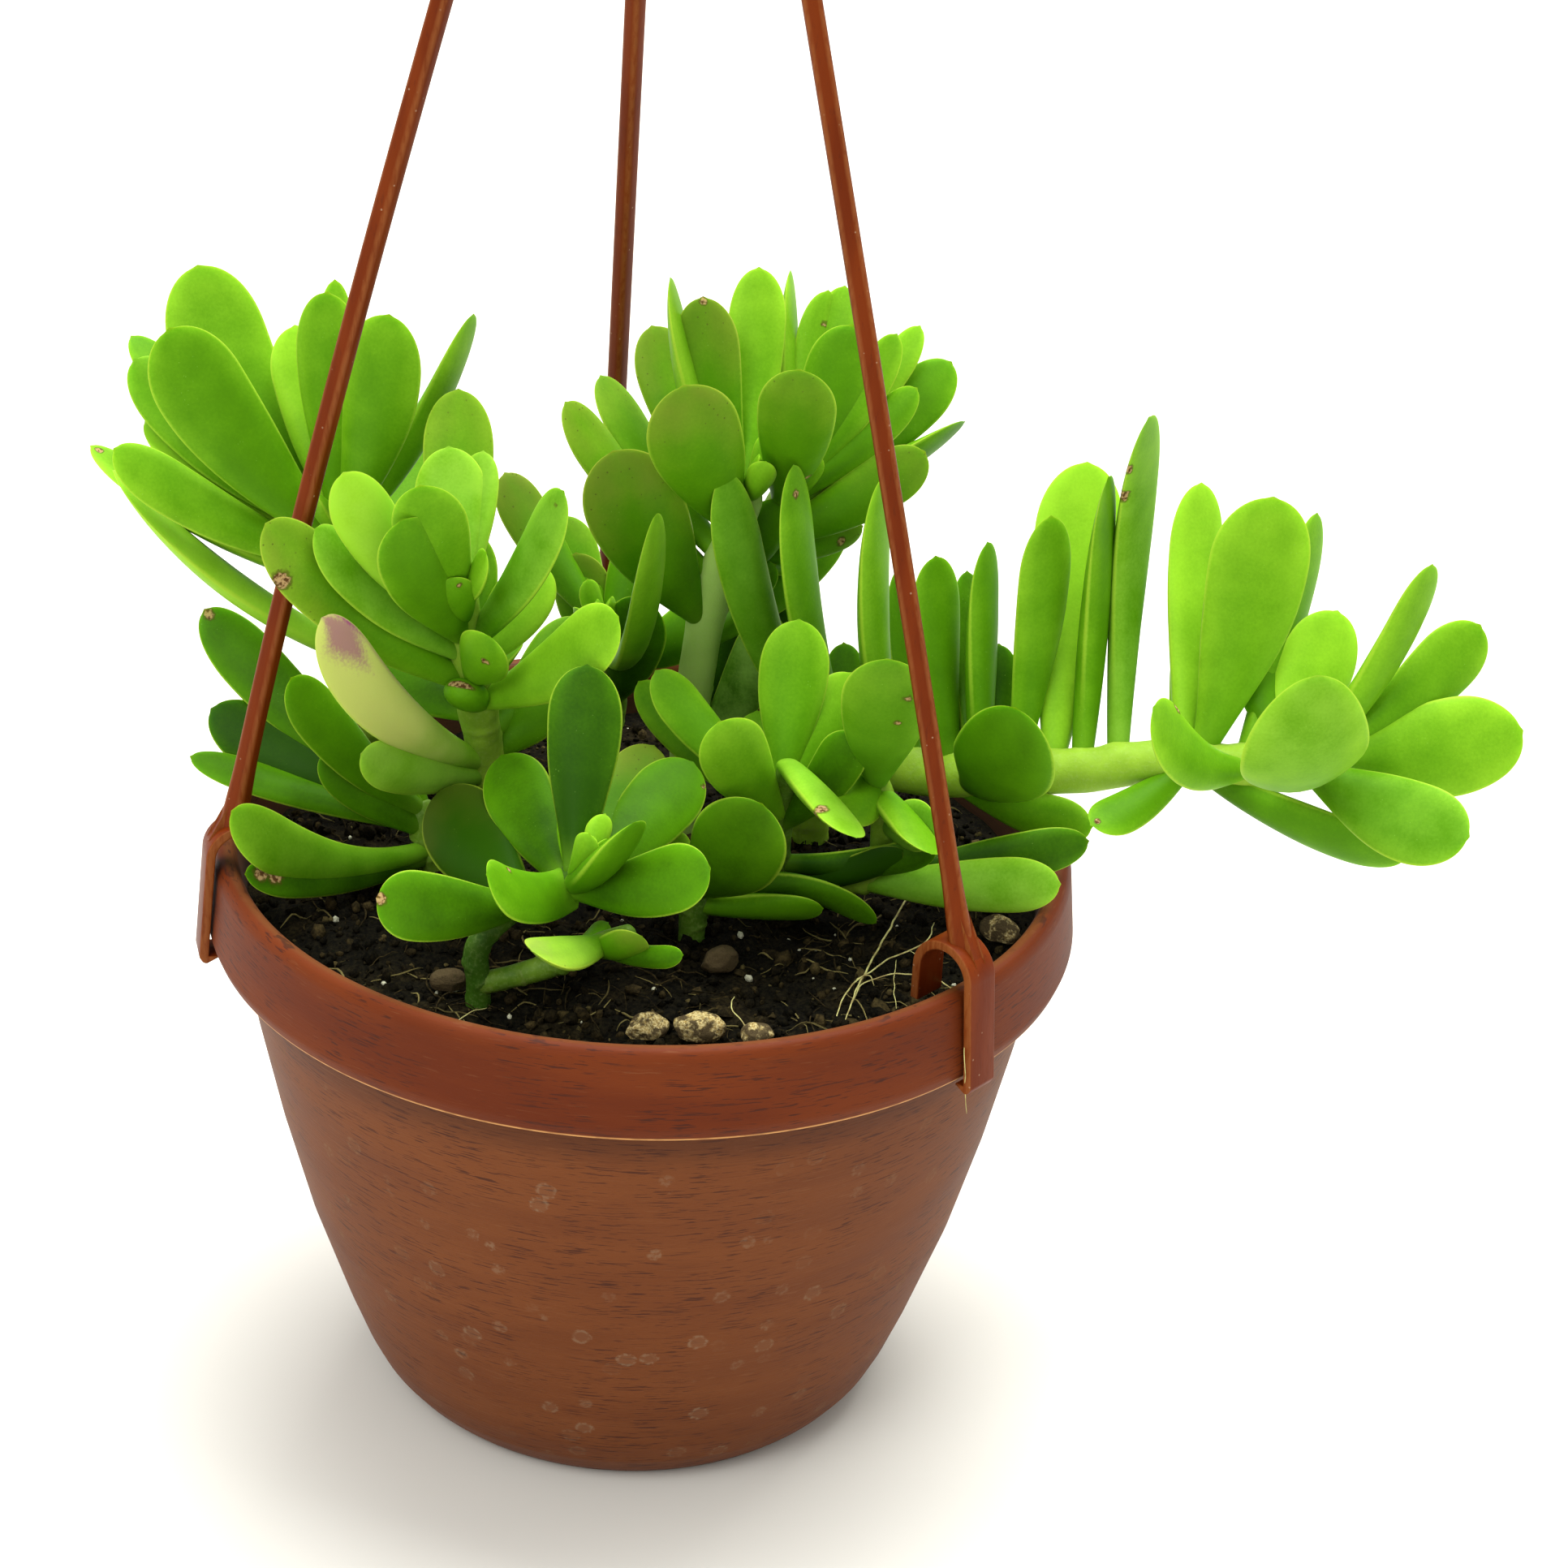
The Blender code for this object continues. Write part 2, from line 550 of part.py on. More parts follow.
def build_pot(mat, group, cutters):
    """The pot: the outside, the turned-out band, the rim and the inner wall in one turned profile."""
    band = [BAND_WIDEST, (BAND_LEDGE_R, POT_SIDE[-1][1])]
    profile = [(0.0, POT_FLOOR), *inside_points(0.0), *reversed(RIM_PROFILE), *band,
               *reversed(POT_SIDE), (0.0, 0.0)]
    pot = turned("pot", profile, mat, group)
    holes = []
    for k in range(DRAIN_HOLES):
        angle = 2 * pi * (k + 0.5) / DRAIN_HOLES
        holes.append(cylinder_mesh(f"drain_{k}", DRAIN_RADIUS, -1, POT_FLOOR + 1, DRAIN_CIRCLE * cos(angle),
                                   DRAIN_CIRCLE * sin(angle), 8))
    drill(pot, holes, cutters)


def build_soil(mat, group, cutters):
    """The soil: a turned plug with a flat top and a lower edge, with a plain blind hole for each stem."""
    inside = inside_points(GAP)
    edge = (inside[-1][0], SOIL_TOP - SOIL_EDGE_DROP)
    profile = [(0.0, SOIL_TOP), (SOIL_FLAT_R, SOIL_TOP), edge, *reversed(inside), (0.0, POT_FLOOR + GAP)]
    soil = turned("soil", profile, mat, group)
    holes = []
    for name, stems in SHOOTS.items():
        x, y, z = stems[0]["points"][0]
        radius = stems[0]["radius"] + HOLE_CLEARANCE
        holes.append(cylinder_mesh("hole_" + name, radius, z - GAP, SOIL_TOP + 5, x, y, HOLE_SIDES))
    drill(soil, holes, cutters)


def build_stones(mat, group):
    """Loose stones: each is a lumpy round body, fuller than its height and lifted so that only its lowest
    part is pressed flat, resting on the soil."""
    for k, (x, y, length, width, height, turn) in enumerate(STONES):
        draw = np.random.default_rng(k)
        shape = bmesh.new()
        bmesh.ops.create_icosphere(shape, subdivisions=2, radius=0.5)
        spin = Matrix.Rotation(radians(turn), 4, "Z")
        for vert in shape.verts:
            lump = 1.0 + draw.uniform(-STONE_LUMPS, STONE_LUMPS)
            full = Vector((vert.co.x * length, vert.co.y * width, vert.co.z * height * STONE_FULLNESS))
            spot = full * lump
            spot.z = max(spot.z + height * STONE_LIFT, 0.0)
            vert.co = (spin @ spot + Vector((x, y, SOIL_TOP + GAP))) * MM
        mesh = bpy.data.meshes.new(f"stone_{k + 1}")
        shape.to_mesh(mesh)
        shape.free()
        place(mesh.name, mesh, mat, group)
        smooth(mesh, 50)


def radial_plane(angle):
    """The matrix whose X runs out from the pot's axis at the angle, whose Y runs up."""
    out = Vector((sin(radians(angle)), -cos(radians(angle)), 0.0))
    up = Vector((0.0, 0.0, 1.0))
    return Matrix((out, up, out.cross(up))).transposed().to_4x4()


def strap_outline():
    """The clip in its radial plane: inner leg, arch over the rim, outer leg, and the lip under the band."""
    cx, cz = ARCH_CENTRE
    outer = ARCH_RADIUS + STRAP_THICK / 2
    inner = ARCH_RADIUS - STRAP_THICK / 2
    turns = [pi * k / ARCH_STEPS for k in range(ARCH_STEPS + 1)]
    over = [(cx - outer * cos(a), cz + outer * sin(a)) for a in turns]
    under = [(cx + inner * cos(a), cz + inner * sin(a)) for a in turns]
    return [(cx - outer, INNER_LEG_Z), *over, *OUTER_LEG_FOOT, *under, (cx - inner, INNER_LEG_Z)]


def build_strands(mat, group):
    """Each strand: the clip's strap, the rod up to the hub, and the web between them, in one piece."""
    apex = Vector(APEX)
    for name, (angle, bow) in STRANDS.items():
        plane = radial_plane(angle)
        out = plane.to_3x3() @ Vector((1.0, 0.0, 0.0))
        foot = out * ROD_FOOT_R + Vector((0.0, 0.0, ROD_FOOT_Z))
        top = (HUB_Z[0] - GAP - ROD_TOP_CLEARANCE - ROD_FOOT_Z) / (apex.z - ROD_FOOT_Z)
        shares = [top * k / (ROD_POINTS - 1) for k in range(ROD_POINTS)]
        spots = [foot.lerp(apex, s) + out * bow * BOW_FACTOR * s * (1 - s) ** 2 for s in shares]
        rod = tube_mesh("rod_" + name, spots, ROD_DIAMETER / 2)
        web = outline_mesh("web_" + name, GUSSET, GUSSET_THICK, plane)
        strap = outline_mesh("strap_" + name, strap_outline(), STRAP_WIDTH, plane)
        strand = place("hanger_strand_" + name, strap, mat, group)
        fuse(strand, [rod, web])


def build_hook(mat, group):
    """The hub where the strands meet, with the open hook that rises from it."""
    x, y, _ = APEX
    hub = cylinder_mesh("hanger_hook", HUB_RADIUS, *HUB_Z, x, y, HUB_SIDES)
    turns = [radians(a) for a in range(HOOK_ARC[0], HOOK_ARC[1] + 1, HOOK_ARC_STEP)]
    ring = [(x + HOOK_RADIUS * cos(a), y, HOOK_CENTRE_Z + HOOK_RADIUS * sin(a)) for a in turns]
    rise = [(x + aside, y, HUB_Z[1] + above) for aside, above in HOOK_RISE]
    line = stem_line(rise + ring, 44)
    hook = place("hanger_hook", hub, mat, group)
    fuse(hook, [tube_mesh("hook_bar", [tuple(p) for p in line[::3]], HOOK_DIAMETER / 2)])


def build():
    clear_scene()
    parts = collection("senecio_in_hanging_pot")
    cutters = collection("cutters")
    plastic = material("pot_plastic", (0.26, 0.075, 0.028), 0.55)
    hanger = material("hanger_plastic", (0.30, 0.060, 0.018), 0.45)
    soil = material("soil", (0.030, 0.019, 0.012), 0.95)
    stone = material("stone", (0.45, 0.40, 0.30), 0.85)
    leaf = material("leaf", (0.20, 0.45, 0.03), 0.40)
    build_pot(plastic, parts, cutters)
    build_soil(soil, parts, cutters)
    build_stones(stone, parts)
    build_shoots(leaf, parts)
    build_strands(hanger, parts)
    build_hook(hanger, parts)


build()
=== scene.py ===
from functools import partialmethod
from math import cos, pi, radians, sin

import bpy
import numpy as np
from mathutils import Matrix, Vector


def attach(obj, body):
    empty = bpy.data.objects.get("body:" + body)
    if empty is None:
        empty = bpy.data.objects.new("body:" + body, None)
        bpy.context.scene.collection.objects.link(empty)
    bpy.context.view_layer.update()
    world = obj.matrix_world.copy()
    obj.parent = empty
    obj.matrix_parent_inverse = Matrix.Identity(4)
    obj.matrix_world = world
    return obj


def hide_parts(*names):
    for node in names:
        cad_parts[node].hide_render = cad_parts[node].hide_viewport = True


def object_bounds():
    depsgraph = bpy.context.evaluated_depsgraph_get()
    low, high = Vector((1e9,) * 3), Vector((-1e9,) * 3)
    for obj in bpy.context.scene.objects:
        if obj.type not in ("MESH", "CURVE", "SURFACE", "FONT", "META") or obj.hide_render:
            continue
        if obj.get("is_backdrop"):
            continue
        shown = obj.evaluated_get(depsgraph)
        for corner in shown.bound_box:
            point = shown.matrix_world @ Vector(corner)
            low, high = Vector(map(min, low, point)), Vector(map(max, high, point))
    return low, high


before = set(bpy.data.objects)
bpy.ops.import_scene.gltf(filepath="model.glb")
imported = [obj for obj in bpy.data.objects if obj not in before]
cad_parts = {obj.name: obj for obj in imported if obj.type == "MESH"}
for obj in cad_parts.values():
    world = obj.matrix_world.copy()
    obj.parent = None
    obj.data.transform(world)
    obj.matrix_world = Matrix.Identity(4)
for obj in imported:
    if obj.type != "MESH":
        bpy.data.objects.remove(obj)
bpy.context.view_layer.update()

# Pot. One thick plastic moulding: a tapering wall that turns out into a band round the rim, and a floor with
# four drain holes. Its brushed surface carries dark streaks and the rings that dried drops of water leave.
MM = 0.001
POT_COLUMNS = 240
POT_SIDE = [(44.7, 0.0), (47.3, 2.5), (49.9, 5.9), (52.2, 10.7), (55.5, 19.4), (62.0, 38.9), (67.1, 58.4),
            (71.3, 77.9), (74.3, 94.4)]
POT_WALL = 2.2
POT_FLOOR = 2.6
BAND = [(78.9, 94.4), (79.9, 97.0), (78.6, 109.6), (77.8, 111.1), (76.8, 111.5), (75.2, 111.2),
        (74.2, 109.6)]
EDGE_ROUNDING = 0.7
DRAIN_HOLES = 4
DRAIN_RADIUS = 2.5
DRAIN_CIRCLE = 27.0
DRAIN_SIDES = 32
DRILL_SPARE = 1
POT_CREASE = 50
LIME_APART = 6.8


class Wire:
    """A shader socket. Arithmetic on wires adds the Math nodes that work it out."""

    def __init__(self, tree, socket=None):
        self.tree = tree
        self.socket = socket

    def node(self, kind, settings=None, inputs=None, output=0):
        """A new node: its kind, its settings, the values or links of its sockets, and the output to read."""
        made = self.tree.nodes.new(kind)
        for key, value in (settings or {}).items():
            setattr(made, key, value)
        for key, value in (inputs or {}).items():
            if isinstance(value, Wire):
                self.tree.links.new(value.socket, made.inputs[key])
            else:
                made.inputs[key].default_value = value
        return Wire(self.tree, made.outputs[output])

    def math(self, operation, *others):
        """A Math node that works on this wire and the others."""
        return self.node("ShaderNodeMath", {"operation": operation}, dict(enumerate((self, *others))))

    __add__ = __radd__ = partialmethod(math, "ADD")
    __sub__ = partialmethod(math, "SUBTRACT")
    __mul__ = __rmul__ = partialmethod(math, "MULTIPLY")
    __pow__ = partialmethod(math, "POWER")
    __abs__ = partialmethod(math, "ABSOLUTE")


def new_finish(name, **constants):
    """A Principled material with its constant sockets set, the shader, and the place on the piece in mm."""
    finish = bpy.data.materials.new(name)
    finish.use_nodes = True
    tree = finish.node_tree
    shader = tree.nodes["Principled BSDF"]
    for socket, value in constants.items():
        shader.inputs[socket.replace("_", " ")].default_value = value
    place = Wire(tree).node("ShaderNodeTexCoord", output="Object")
    return finish, shader, times(place, (1000, 1000, 1000))


def times(vector, factors):
    """The vector, each of its numbers multiplied by its own factor."""
    return vector.node("ShaderNodeVectorMath", {"operation": "MULTIPLY"}, {0: vector, 1: factors})


def parts_of(vector):
    """The three numbers of a vector, each as a wire."""
    return [vector.node("ShaderNodeSeparateXYZ", None, {0: vector}, k) for k in range(3)]


def field(tree_wire, name, output=0):
    """A value that the mesh carries at each of its points; output 1 reads it as a vector, 2 as a number."""
    return tree_wire.node("ShaderNodeAttribute", {"attribute_name": name}, None, output)


def mix(factor, low, high):
    """The colour low where the factor is 0, and high where it is 1; a colour is a wire or three numbers."""
    low, high = (colour if isinstance(colour, Wire) else (*colour, 1) for colour in (low, high))
    return factor.node("ShaderNodeMix", {"data_type": "RGBA"}, {0: factor, 6: low, 7: high}, 2)


def coated(colour, *coats):
    """The colour with coats over it, each given as its share from 0 to 1 and its own colour."""
    for share, coat in coats:
        colour = mix(share, colour, coat)
    return colour


def rise(value, low, high):
    """An S-shaped step from 0 at low to 1 at high, which may be the smaller of the two."""
    return value.node("ShaderNodeMapRange", {"interpolation_type": "SMOOTHSTEP"},
                      {"Value": value, "From Min": low, "From Max": high})


def noise(place, scale, detail=2.0, roughness=0.5):
    """Soft noise round 0.5, its size one over the scale in the units of the place."""
    return place.node("ShaderNodeTexNoise", None,
                      {"Vector": place, "Scale": scale, "Detail": detail, "Roughness": roughness})


def cells(place, scale, output="Distance"):
    """The distance to the middle of the nearest random cell, in cells, or the cell's own colour."""
    return place.node("ShaderNodeTexVoronoi", None, {"Vector": place, "Scale": scale}, output)


def paint(shader, colour, roughness, height=None, depth=0.1, strength=1.0):
    """Feed the shader what changes over the surface: colour, roughness and a bump, its depth in mm."""
    tree = shader.id_data
    tree.links.new(colour.socket, shader.inputs["Base Color"])
    tree.links.new(roughness.socket, shader.inputs["Roughness"])
    if height is not None:
        bump = height.node("ShaderNodeBump", None,
                           {"Height": height, "Distance": depth * MM, "Strength": strength})
        tree.links.new(bump.socket, shader.inputs["Normal"])


def rounded(outline, reach, steps=4):
    """The outline with each inner corner bridged by a parabola: it starts and ends the reach away from the
    corner, at most 45 % of a side, and weighs start, corner and end by (1-t)^2, 2t(1-t) and t^2."""
    points = np.array(outline, float)
    before, corner, after = points[:-2], points[1:-1], points[2:]
    ends = []
    for other in (before, after):
        side = other - corner
        length = np.linalg.norm(side, axis=1, keepdims=True)
        ends.append(corner + side / length * np.minimum(reach, 0.45 * length))
    t = np.linspace(0, 1, steps + 1)[None, :, None]
    arcs = (1 - t) ** 2 * ends[0][:, None] + 2 * t * (1 - t) * corner[:, None] + t ** 2 * ends[1][:, None]
    return np.concatenate([points[:1], arcs.reshape(-1, points.shape[1]), points[-1:]])


def skin(rings, first=None, last=None):
    """Points and faces of rows of closed rings, shut at both ends by a fan to one point, or to the middle of
    the end ring where none is given. They face outwards where the way from row to row, crossed with the way
    round a ring, points outwards."""
    rows, columns = rings.shape[:2]
    first = rings[0].mean(axis=0) if first is None else first
    last = rings[-1].mean(axis=0) if last is None else last
    points = np.concatenate([rings.reshape(-1, 3), [first, last]])
    here = np.arange(rows * columns).reshape(rows, columns)
    side = np.roll(here, -1, axis=1)
    quads = np.stack([here[:-1], here[1:], side[1:], side[:-1]], axis=-1).reshape(-1, 4)
    pole = np.full(columns, rows * columns)
    fans = np.concatenate([np.stack([pole, here[0], side[0]], axis=-1),
                           np.stack([pole + 1, side[-1], here[-1]], axis=-1)])
    return points, [quads, fans]


def turns_of(columns):
    """The angles of a ring's columns, in equal steps."""
    return 2 * pi * np.arange(columns) / columns


def level_rings(radius, height, columns):
    """Rings round the upright axis, one for each radius and height: x = r sin a, y = -r cos a."""
    angle = turns_of(columns)
    level = np.repeat(height[:, None], columns, axis=1)
    return np.stack([radius[:, None] * np.sin(angle), -radius[:, None] * np.cos(angle), level], axis=-1)


def turned(profile, columns):
    """A profile of (radius, height) carried round the upright axis. Its first and last point lie on it."""
    radius, height = np.array(profile, float).T
    return skin(level_rings(radius[1:-1], height[1:-1], columns), (0, 0, height[0]), (0, 0, height[-1]))


def new_piece(name, skins, finishes, fields=None, sharp=40, kinds=None):
    """An object at the origin made of skins in millimetres. Fields are lists of arrays, one array a skin,
    that each point carries; kinds says which of the finishes each skin has."""
    starts = np.cumsum([0] + [len(points) for points, _ in skins])
    faces = []
    slots = []
    for number, (start, (_, groups)) in enumerate(zip(starts, skins)):
        for group in groups:
            faces += (group + start).tolist()
            slots += [kinds[number] if kinds else 0] * len(group)
    mesh = bpy.data.meshes.new(name)
    mesh.from_pydata((np.concatenate([points for points, _ in skins]) * MM).tolist(), [], faces)
    for key, arrays in (fields or {}).items():
        values = np.concatenate(arrays)
        shape = ("FLOAT_VECTOR", "vector") if values.ndim == 2 else ("FLOAT", "value")
        mesh.attributes.new(key, shape[0], "POINT").data.foreach_set(shape[1], values.ravel())
    for finish in finishes:
        mesh.materials.append(finish)
    mesh.polygons.foreach_set("material_index", slots)
    mesh.shade_smooth()
    mesh.set_sharp_from_angle(angle=radians(sharp))
    piece = bpy.data.objects.new(name, mesh)
    bpy.context.scene.collection.objects.link(piece)
    return piece


def pot_finish():
    """Terracotta-brown plastic: broad tones and short dark streaks that run round, a painted highlight along
    the band's lower edge, painted shade on the wall just under the band, rings of lime on the wall below the
    band and soil-stained plastic inside."""
    finish, shader, place = new_finish("brushed_pot_plastic", Specular_IOR_Level=0.12, Sheen_Weight=0.03,
                                       Sheen_Roughness=0.3)
    x, y, z = parts_of(place)
    radius = (x * x + y * y) ** 0.5
    tones = noise(times(place, (0.02, 0.02, 0.12)), 1.0, 3)
    brushed = noise(times(place, (0.16, 0.16, 2.4)), 1.0, 3, 0.6)
    fine = noise(times(place, (0.5, 0.5, 6.0)), 1.0, 2)
    patches = noise(place, 0.06, 2)
    streaks = rise(brushed, 0.57, 0.65) * rise(patches, 0.34, 0.54)
    pale = rise(brushed, 0.40, 0.28) * rise(patches, 0.6, 0.4)
    on_band = rise(radius, 76.2, 77.2) * rise(z, 93.6, 94.2)
    inside = rise(radius, POT_SIDE[-1][0] + 1.2, POT_SIDE[-1][0] + 0.4) * rise(z, 94.6, 95.2)
    wall = mix(rise(tones, 0.3, 0.7), (0.121, 0.032, 0.0072), (0.147, 0.042, 0.0100))
    band = mix(rise(tones, 0.3, 0.7), (0.100, 0.0155, 0.0014), (0.133, 0.024, 0.0028))
    # Painted shade: the wall darkens just under the band's overhang.
    shade = rise(z + brushed * 6.0, 86.0, 93.0) * rise(z, 94.4, 93.8)
    dash = rise(noise(times(place, (0.22, 0.22, 3.2)), 1.0, 1), 0.66, 0.71) * rise(patches, 0.36, 0.50)
    spot = cells(place, 1 / LIME_APART) * LIME_APART
    chance, weight, _ = parts_of(cells(place, 1 / LIME_APART, "Color"))
    wear_and_highlight = noise(place, 1.1, 2)
    ring = rise(spot, 1.0, 1.55) * rise(spot, 2.15, 1.75) * rise(wear_and_highlight, 0.42, 0.62)
    film = rise(spot, 1.9, 1.5) * 0.30
    where = rise(chance, 0.38, 0.42) * rise(z, 90, 78) * rise(z, 3, 9) * rise(radius, 75, 74.6)
    lime = (ring + film) * where * (weight * 0.7 + 0.1)
    # Painted highlight: a pale line along the band's rounded lower edge.
    edge = rise(z, 94.20, 94.45) * rise(z, 95.25, 94.90) * rise(radius, 78.0, 78.6)
    stain = inside * (rise(z + noise(place, 0.25) * 6.0, 111, 104) * 0.75 + 0.1)
    colour = coated(
        mix(on_band, mix(shade * 0.45, wall, (0.050, 0.015, 0.006)), band),
        (dash * 0.7, (0.032, 0.009, 0.0045)),
        (streaks * 0.75, (0.036, 0.009, 0.0050)),
        (pale * 0.22, (0.220, 0.095, 0.038)),
        (rise(fine, 0.62, 0.75) * 0.3, (0.045, 0.012, 0.0065)),
        (lime * 0.32, (0.300, 0.230, 0.150)),
        (edge * (rise(noise(place, 0.35), 0.35, 0.6) * 0.35 + 0.6), (0.560, 0.270, 0.090)),
        (stain, (0.045, 0.022, 0.012)))
    shine = 0.52 + tones * 0.14 + lime * 0.3
    height = brushed * 0.7 + fine * 0.3 + lime * 0.15
    paint(shader, colour, shine, height, 0.12, 0.6)
    return finish


brushed_plastic = pot_finish()
inner = [(radius - POT_WALL, height) for radius, height in POT_SIDE[3:]]
outline = [(0, POT_FLOOR), (POT_SIDE[0][0], POT_FLOOR), *inner, *BAND[::-1], *POT_SIDE[::-1], (0, 0)]
moulding = turned(rounded(outline, EDGE_ROUNDING), POT_COLUMNS)
pot = new_piece("hanging_pot", [moulding], [brushed_plastic], sharp=POT_CREASE)
for k in range(DRAIN_HOLES):
    turn = 2 * pi * (k + 0.5) / DRAIN_HOLES
    low, high = -DRILL_SPARE, POT_FLOOR + DRILL_SPARE
    points, faces = turned([(0, high), (DRAIN_RADIUS, high), (DRAIN_RADIUS, low), (0, low)], DRAIN_SIDES)
    place = np.array([DRAIN_CIRCLE * cos(turn), DRAIN_CIRCLE * sin(turn), 0])
    drill = new_piece(f"drill_{k}", [(points + place, faces)], [])
    cut = pot.modifiers.new("drain", "BOOLEAN")
    cut.object = drill
    cut.solver = "EXACT"
    drilled = bpy.data.meshes.new_from_object(pot.evaluated_get(bpy.context.evaluated_depsgraph_get()))
    pot.modifiers.clear()
    pot.data = drilled
    bpy.data.objects.remove(drill)
pot.data.set_sharp_from_angle(angle=radians(POT_CREASE))
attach(pot, "root")
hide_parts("pot")

# Soil. Dark peat mix that fills the pot to about a centimetre under its rim: an uneven bed with crumbs, thin
# fibres and a few white and ochre grits on it. The pot's wall holds it.
SOIL_TOP = 100.6
SOIL_RADIUS = 72.6
SOIL_FOOT = [(71.9, 94.4), (69.1, 77.9), (64.9, 58.4), (53.3, 19.4), (44.4, 2.9)]
SOIL_ROUGH = 1.1
RIPPLES = [(3, 26.0, 1.0), (4, 6.0, 0.7), (5, 2.2, 0.45)]
SOIL_EDGE = (60.0, 12.0, 0.8)
SOIL_RINGS = 90
SOIL_COLUMNS = 180
CRUMBS = 5200
CRUMB_SIZES = (0.28, 1.7)
CRUMB_LIFT = (-0.1, 0.55)
CRUMB_STRETCH = (0.6, 1.25)
CRUMB_DENTS = (0.75, 1.2)
WHITE_SHARE, WHITE_LARGEST = 0.022, 1.0
FIBRES = 600
FIBRE_POINTS = 9
FIBRE_SIDES = 5
FIBRE_HALF = (1.2, 6.5)
FIBRE_BEND = 0.45
FIBRE_LIFT = (0.1, 0.9)
FIBRE_RADIUS = (0.08, 0.2)
FIBRE_TONE = (0.15, 0.85)
CRUMB_SPREAD, CRUMB_EDGE = 71.3, 71.6
FIBRE_SPREAD, FIBRE_EDGE = 68, 71.5


def ripple(points, draw, wave, count=24):
    """Smooth random heights round 0: the mean of sines that run in random directions, their wavelengths
    from 0.6 to 1.6 of the given one."""
    way = draw.normal(size=(3, count))
    way /= np.linalg.norm(way, axis=0)
    way *= 2 * pi / (wave * draw.uniform(0.6, 1.6, count))
    return np.sin(points @ way + draw.uniform(0, 2 * pi, count)).mean(axis=1) * 2.2


def soil_height(x, y):
    """The bed's height: the soil's level, with ripples of each seed, wavelength and weight, and lower by a
    square curve towards the wall."""
    spots = np.stack([x, y, np.zeros_like(x)], axis=-1)
    rough = sum(weight * ripple(spots, np.random.default_rng(seed), wave) for seed, wave, weight in RIPPLES)
    start, width, drop = SOIL_EDGE
    edge = np.clip((np.hypot(x, y) - start) / width, 0, 1)
    return SOIL_TOP + SOIL_ROUGH * rough - drop * edge ** 2


def soil_skin():
    """A plug: rows of rings from the middle of the bed out to the wall, then down the wall to the floor."""
    radius = SOIL_RADIUS * np.linspace(1 / SOIL_RINGS, 1, SOIL_RINGS)
    top = level_rings(radius, np.zeros(SOIL_RINGS), SOIL_COLUMNS)
    top[..., 2] = soil_height(top[..., 0].ravel(), top[..., 1].ravel()).reshape(top.shape[:2])
    down = level_rings(*np.array(SOIL_FOOT).T, SOIL_COLUMNS)
    return skin(np.concatenate([top, down]), (0, 0, top[0, :, 2].mean()), (0, 0, SOIL_FOOT[-1][1]))


def crumb_skins():
    """Crumbs: each is a twelve-cornered lump, stretched, turned and set a little way into the bed. Returns
    one skin for all, and the tone of each of its points."""
    draw = np.random.default_rng(11)
    golden = (1 + 5 ** 0.5) / 2
    corners = np.array([(a, b * golden, 0) for a in (-1, 1) for b in (-1, 1)])
    corners = np.concatenate([corners, np.roll(corners, 1, axis=1), np.roll(corners, 2, axis=1)]) / 1.9
    gaps = np.linalg.norm(corners[:, None] - corners[None], axis=-1)
    near = (gaps > 0) & (gaps < 1.2)
    faces = np.array([(i, j, k) for i in range(12) for j in range(i) for k in range(j)
                      if near[i, j] and near[j, k] and near[i, k]])
    middle = corners[faces].mean(axis=1)
    a, b, c = corners[faces.T]
    inward = (np.cross(b - a, c - a) * middle).sum(axis=1) < 0
    faces[inward] = faces[inward][:, ::-1]
    far = CRUMB_SPREAD * draw.uniform(0, 1, CRUMBS) ** 0.5
    angle = draw.uniform(0, 2 * pi, CRUMBS)
    small, large = CRUMB_SIZES
    size = small * (large / small) ** (draw.uniform(0, 1, CRUMBS) ** 2.2)
    far = np.minimum(far, CRUMB_EDGE - size)
    x, y = far * np.sin(angle), -far * np.cos(angle)
    z = soil_height(x, y) + size * draw.uniform(*CRUMB_LIFT, CRUMBS)
    shape = draw.uniform(*CRUMB_STRETCH, (CRUMBS, 1, 3)) * size[:, None, None]
    lumps = corners * draw.uniform(*CRUMB_DENTS, (CRUMBS, 12, 1)) * shape
    spin = draw.uniform(0, 2 * pi, CRUMBS)[:, None]
    turned_x = lumps[..., 0] * np.cos(spin) - lumps[..., 1] * np.sin(spin)
    turned_y = lumps[..., 0] * np.sin(spin) + lumps[..., 1] * np.cos(spin)
    points = np.stack([turned_x, turned_y, lumps[..., 2]], axis=-1) + np.stack([x, y, z], axis=-1)[:, None]
    every = faces[None] + 12 * np.arange(CRUMBS)[:, None, None]
    tone = draw.uniform(0, 1, CRUMBS) ** 3.0 * 0.66
    white = draw.uniform(0, 1, CRUMBS) < WHITE_SHARE
    tone[white & (size < WHITE_LARGEST)] = 1.0
    return (points.reshape(-1, 3), [every.reshape(-1, 3)]), np.repeat(tone, 12)


def unit(vectors):
    """A vector, or each row of a list of vectors, at length 1."""
    return vectors / np.linalg.norm(vectors, axis=-1, keepdims=True)


def swept(path, radius, side, columns):
    """A round section carried along a path: path + radius (U cos a + V sin a), where V is the given side
    turned square to the path's run T, and U is T x V. The radius may differ at each point of the grid."""
    path = np.asarray(path, float)
    run = unit(np.gradient(path, axis=0))
    v = unit(side - (run @ np.asarray(side, float))[:, None] * run)
    u = np.cross(run, v)
    angle = turns_of(columns)
    round_way = u[:, None] * np.cos(angle)[:, None] + v[:, None] * np.sin(angle)[:, None]
    grow = np.asarray(radius, float)
    grow = grow.reshape(len(path), -1, 1) if grow.ndim else grow
    return path[:, None] + grow * round_way


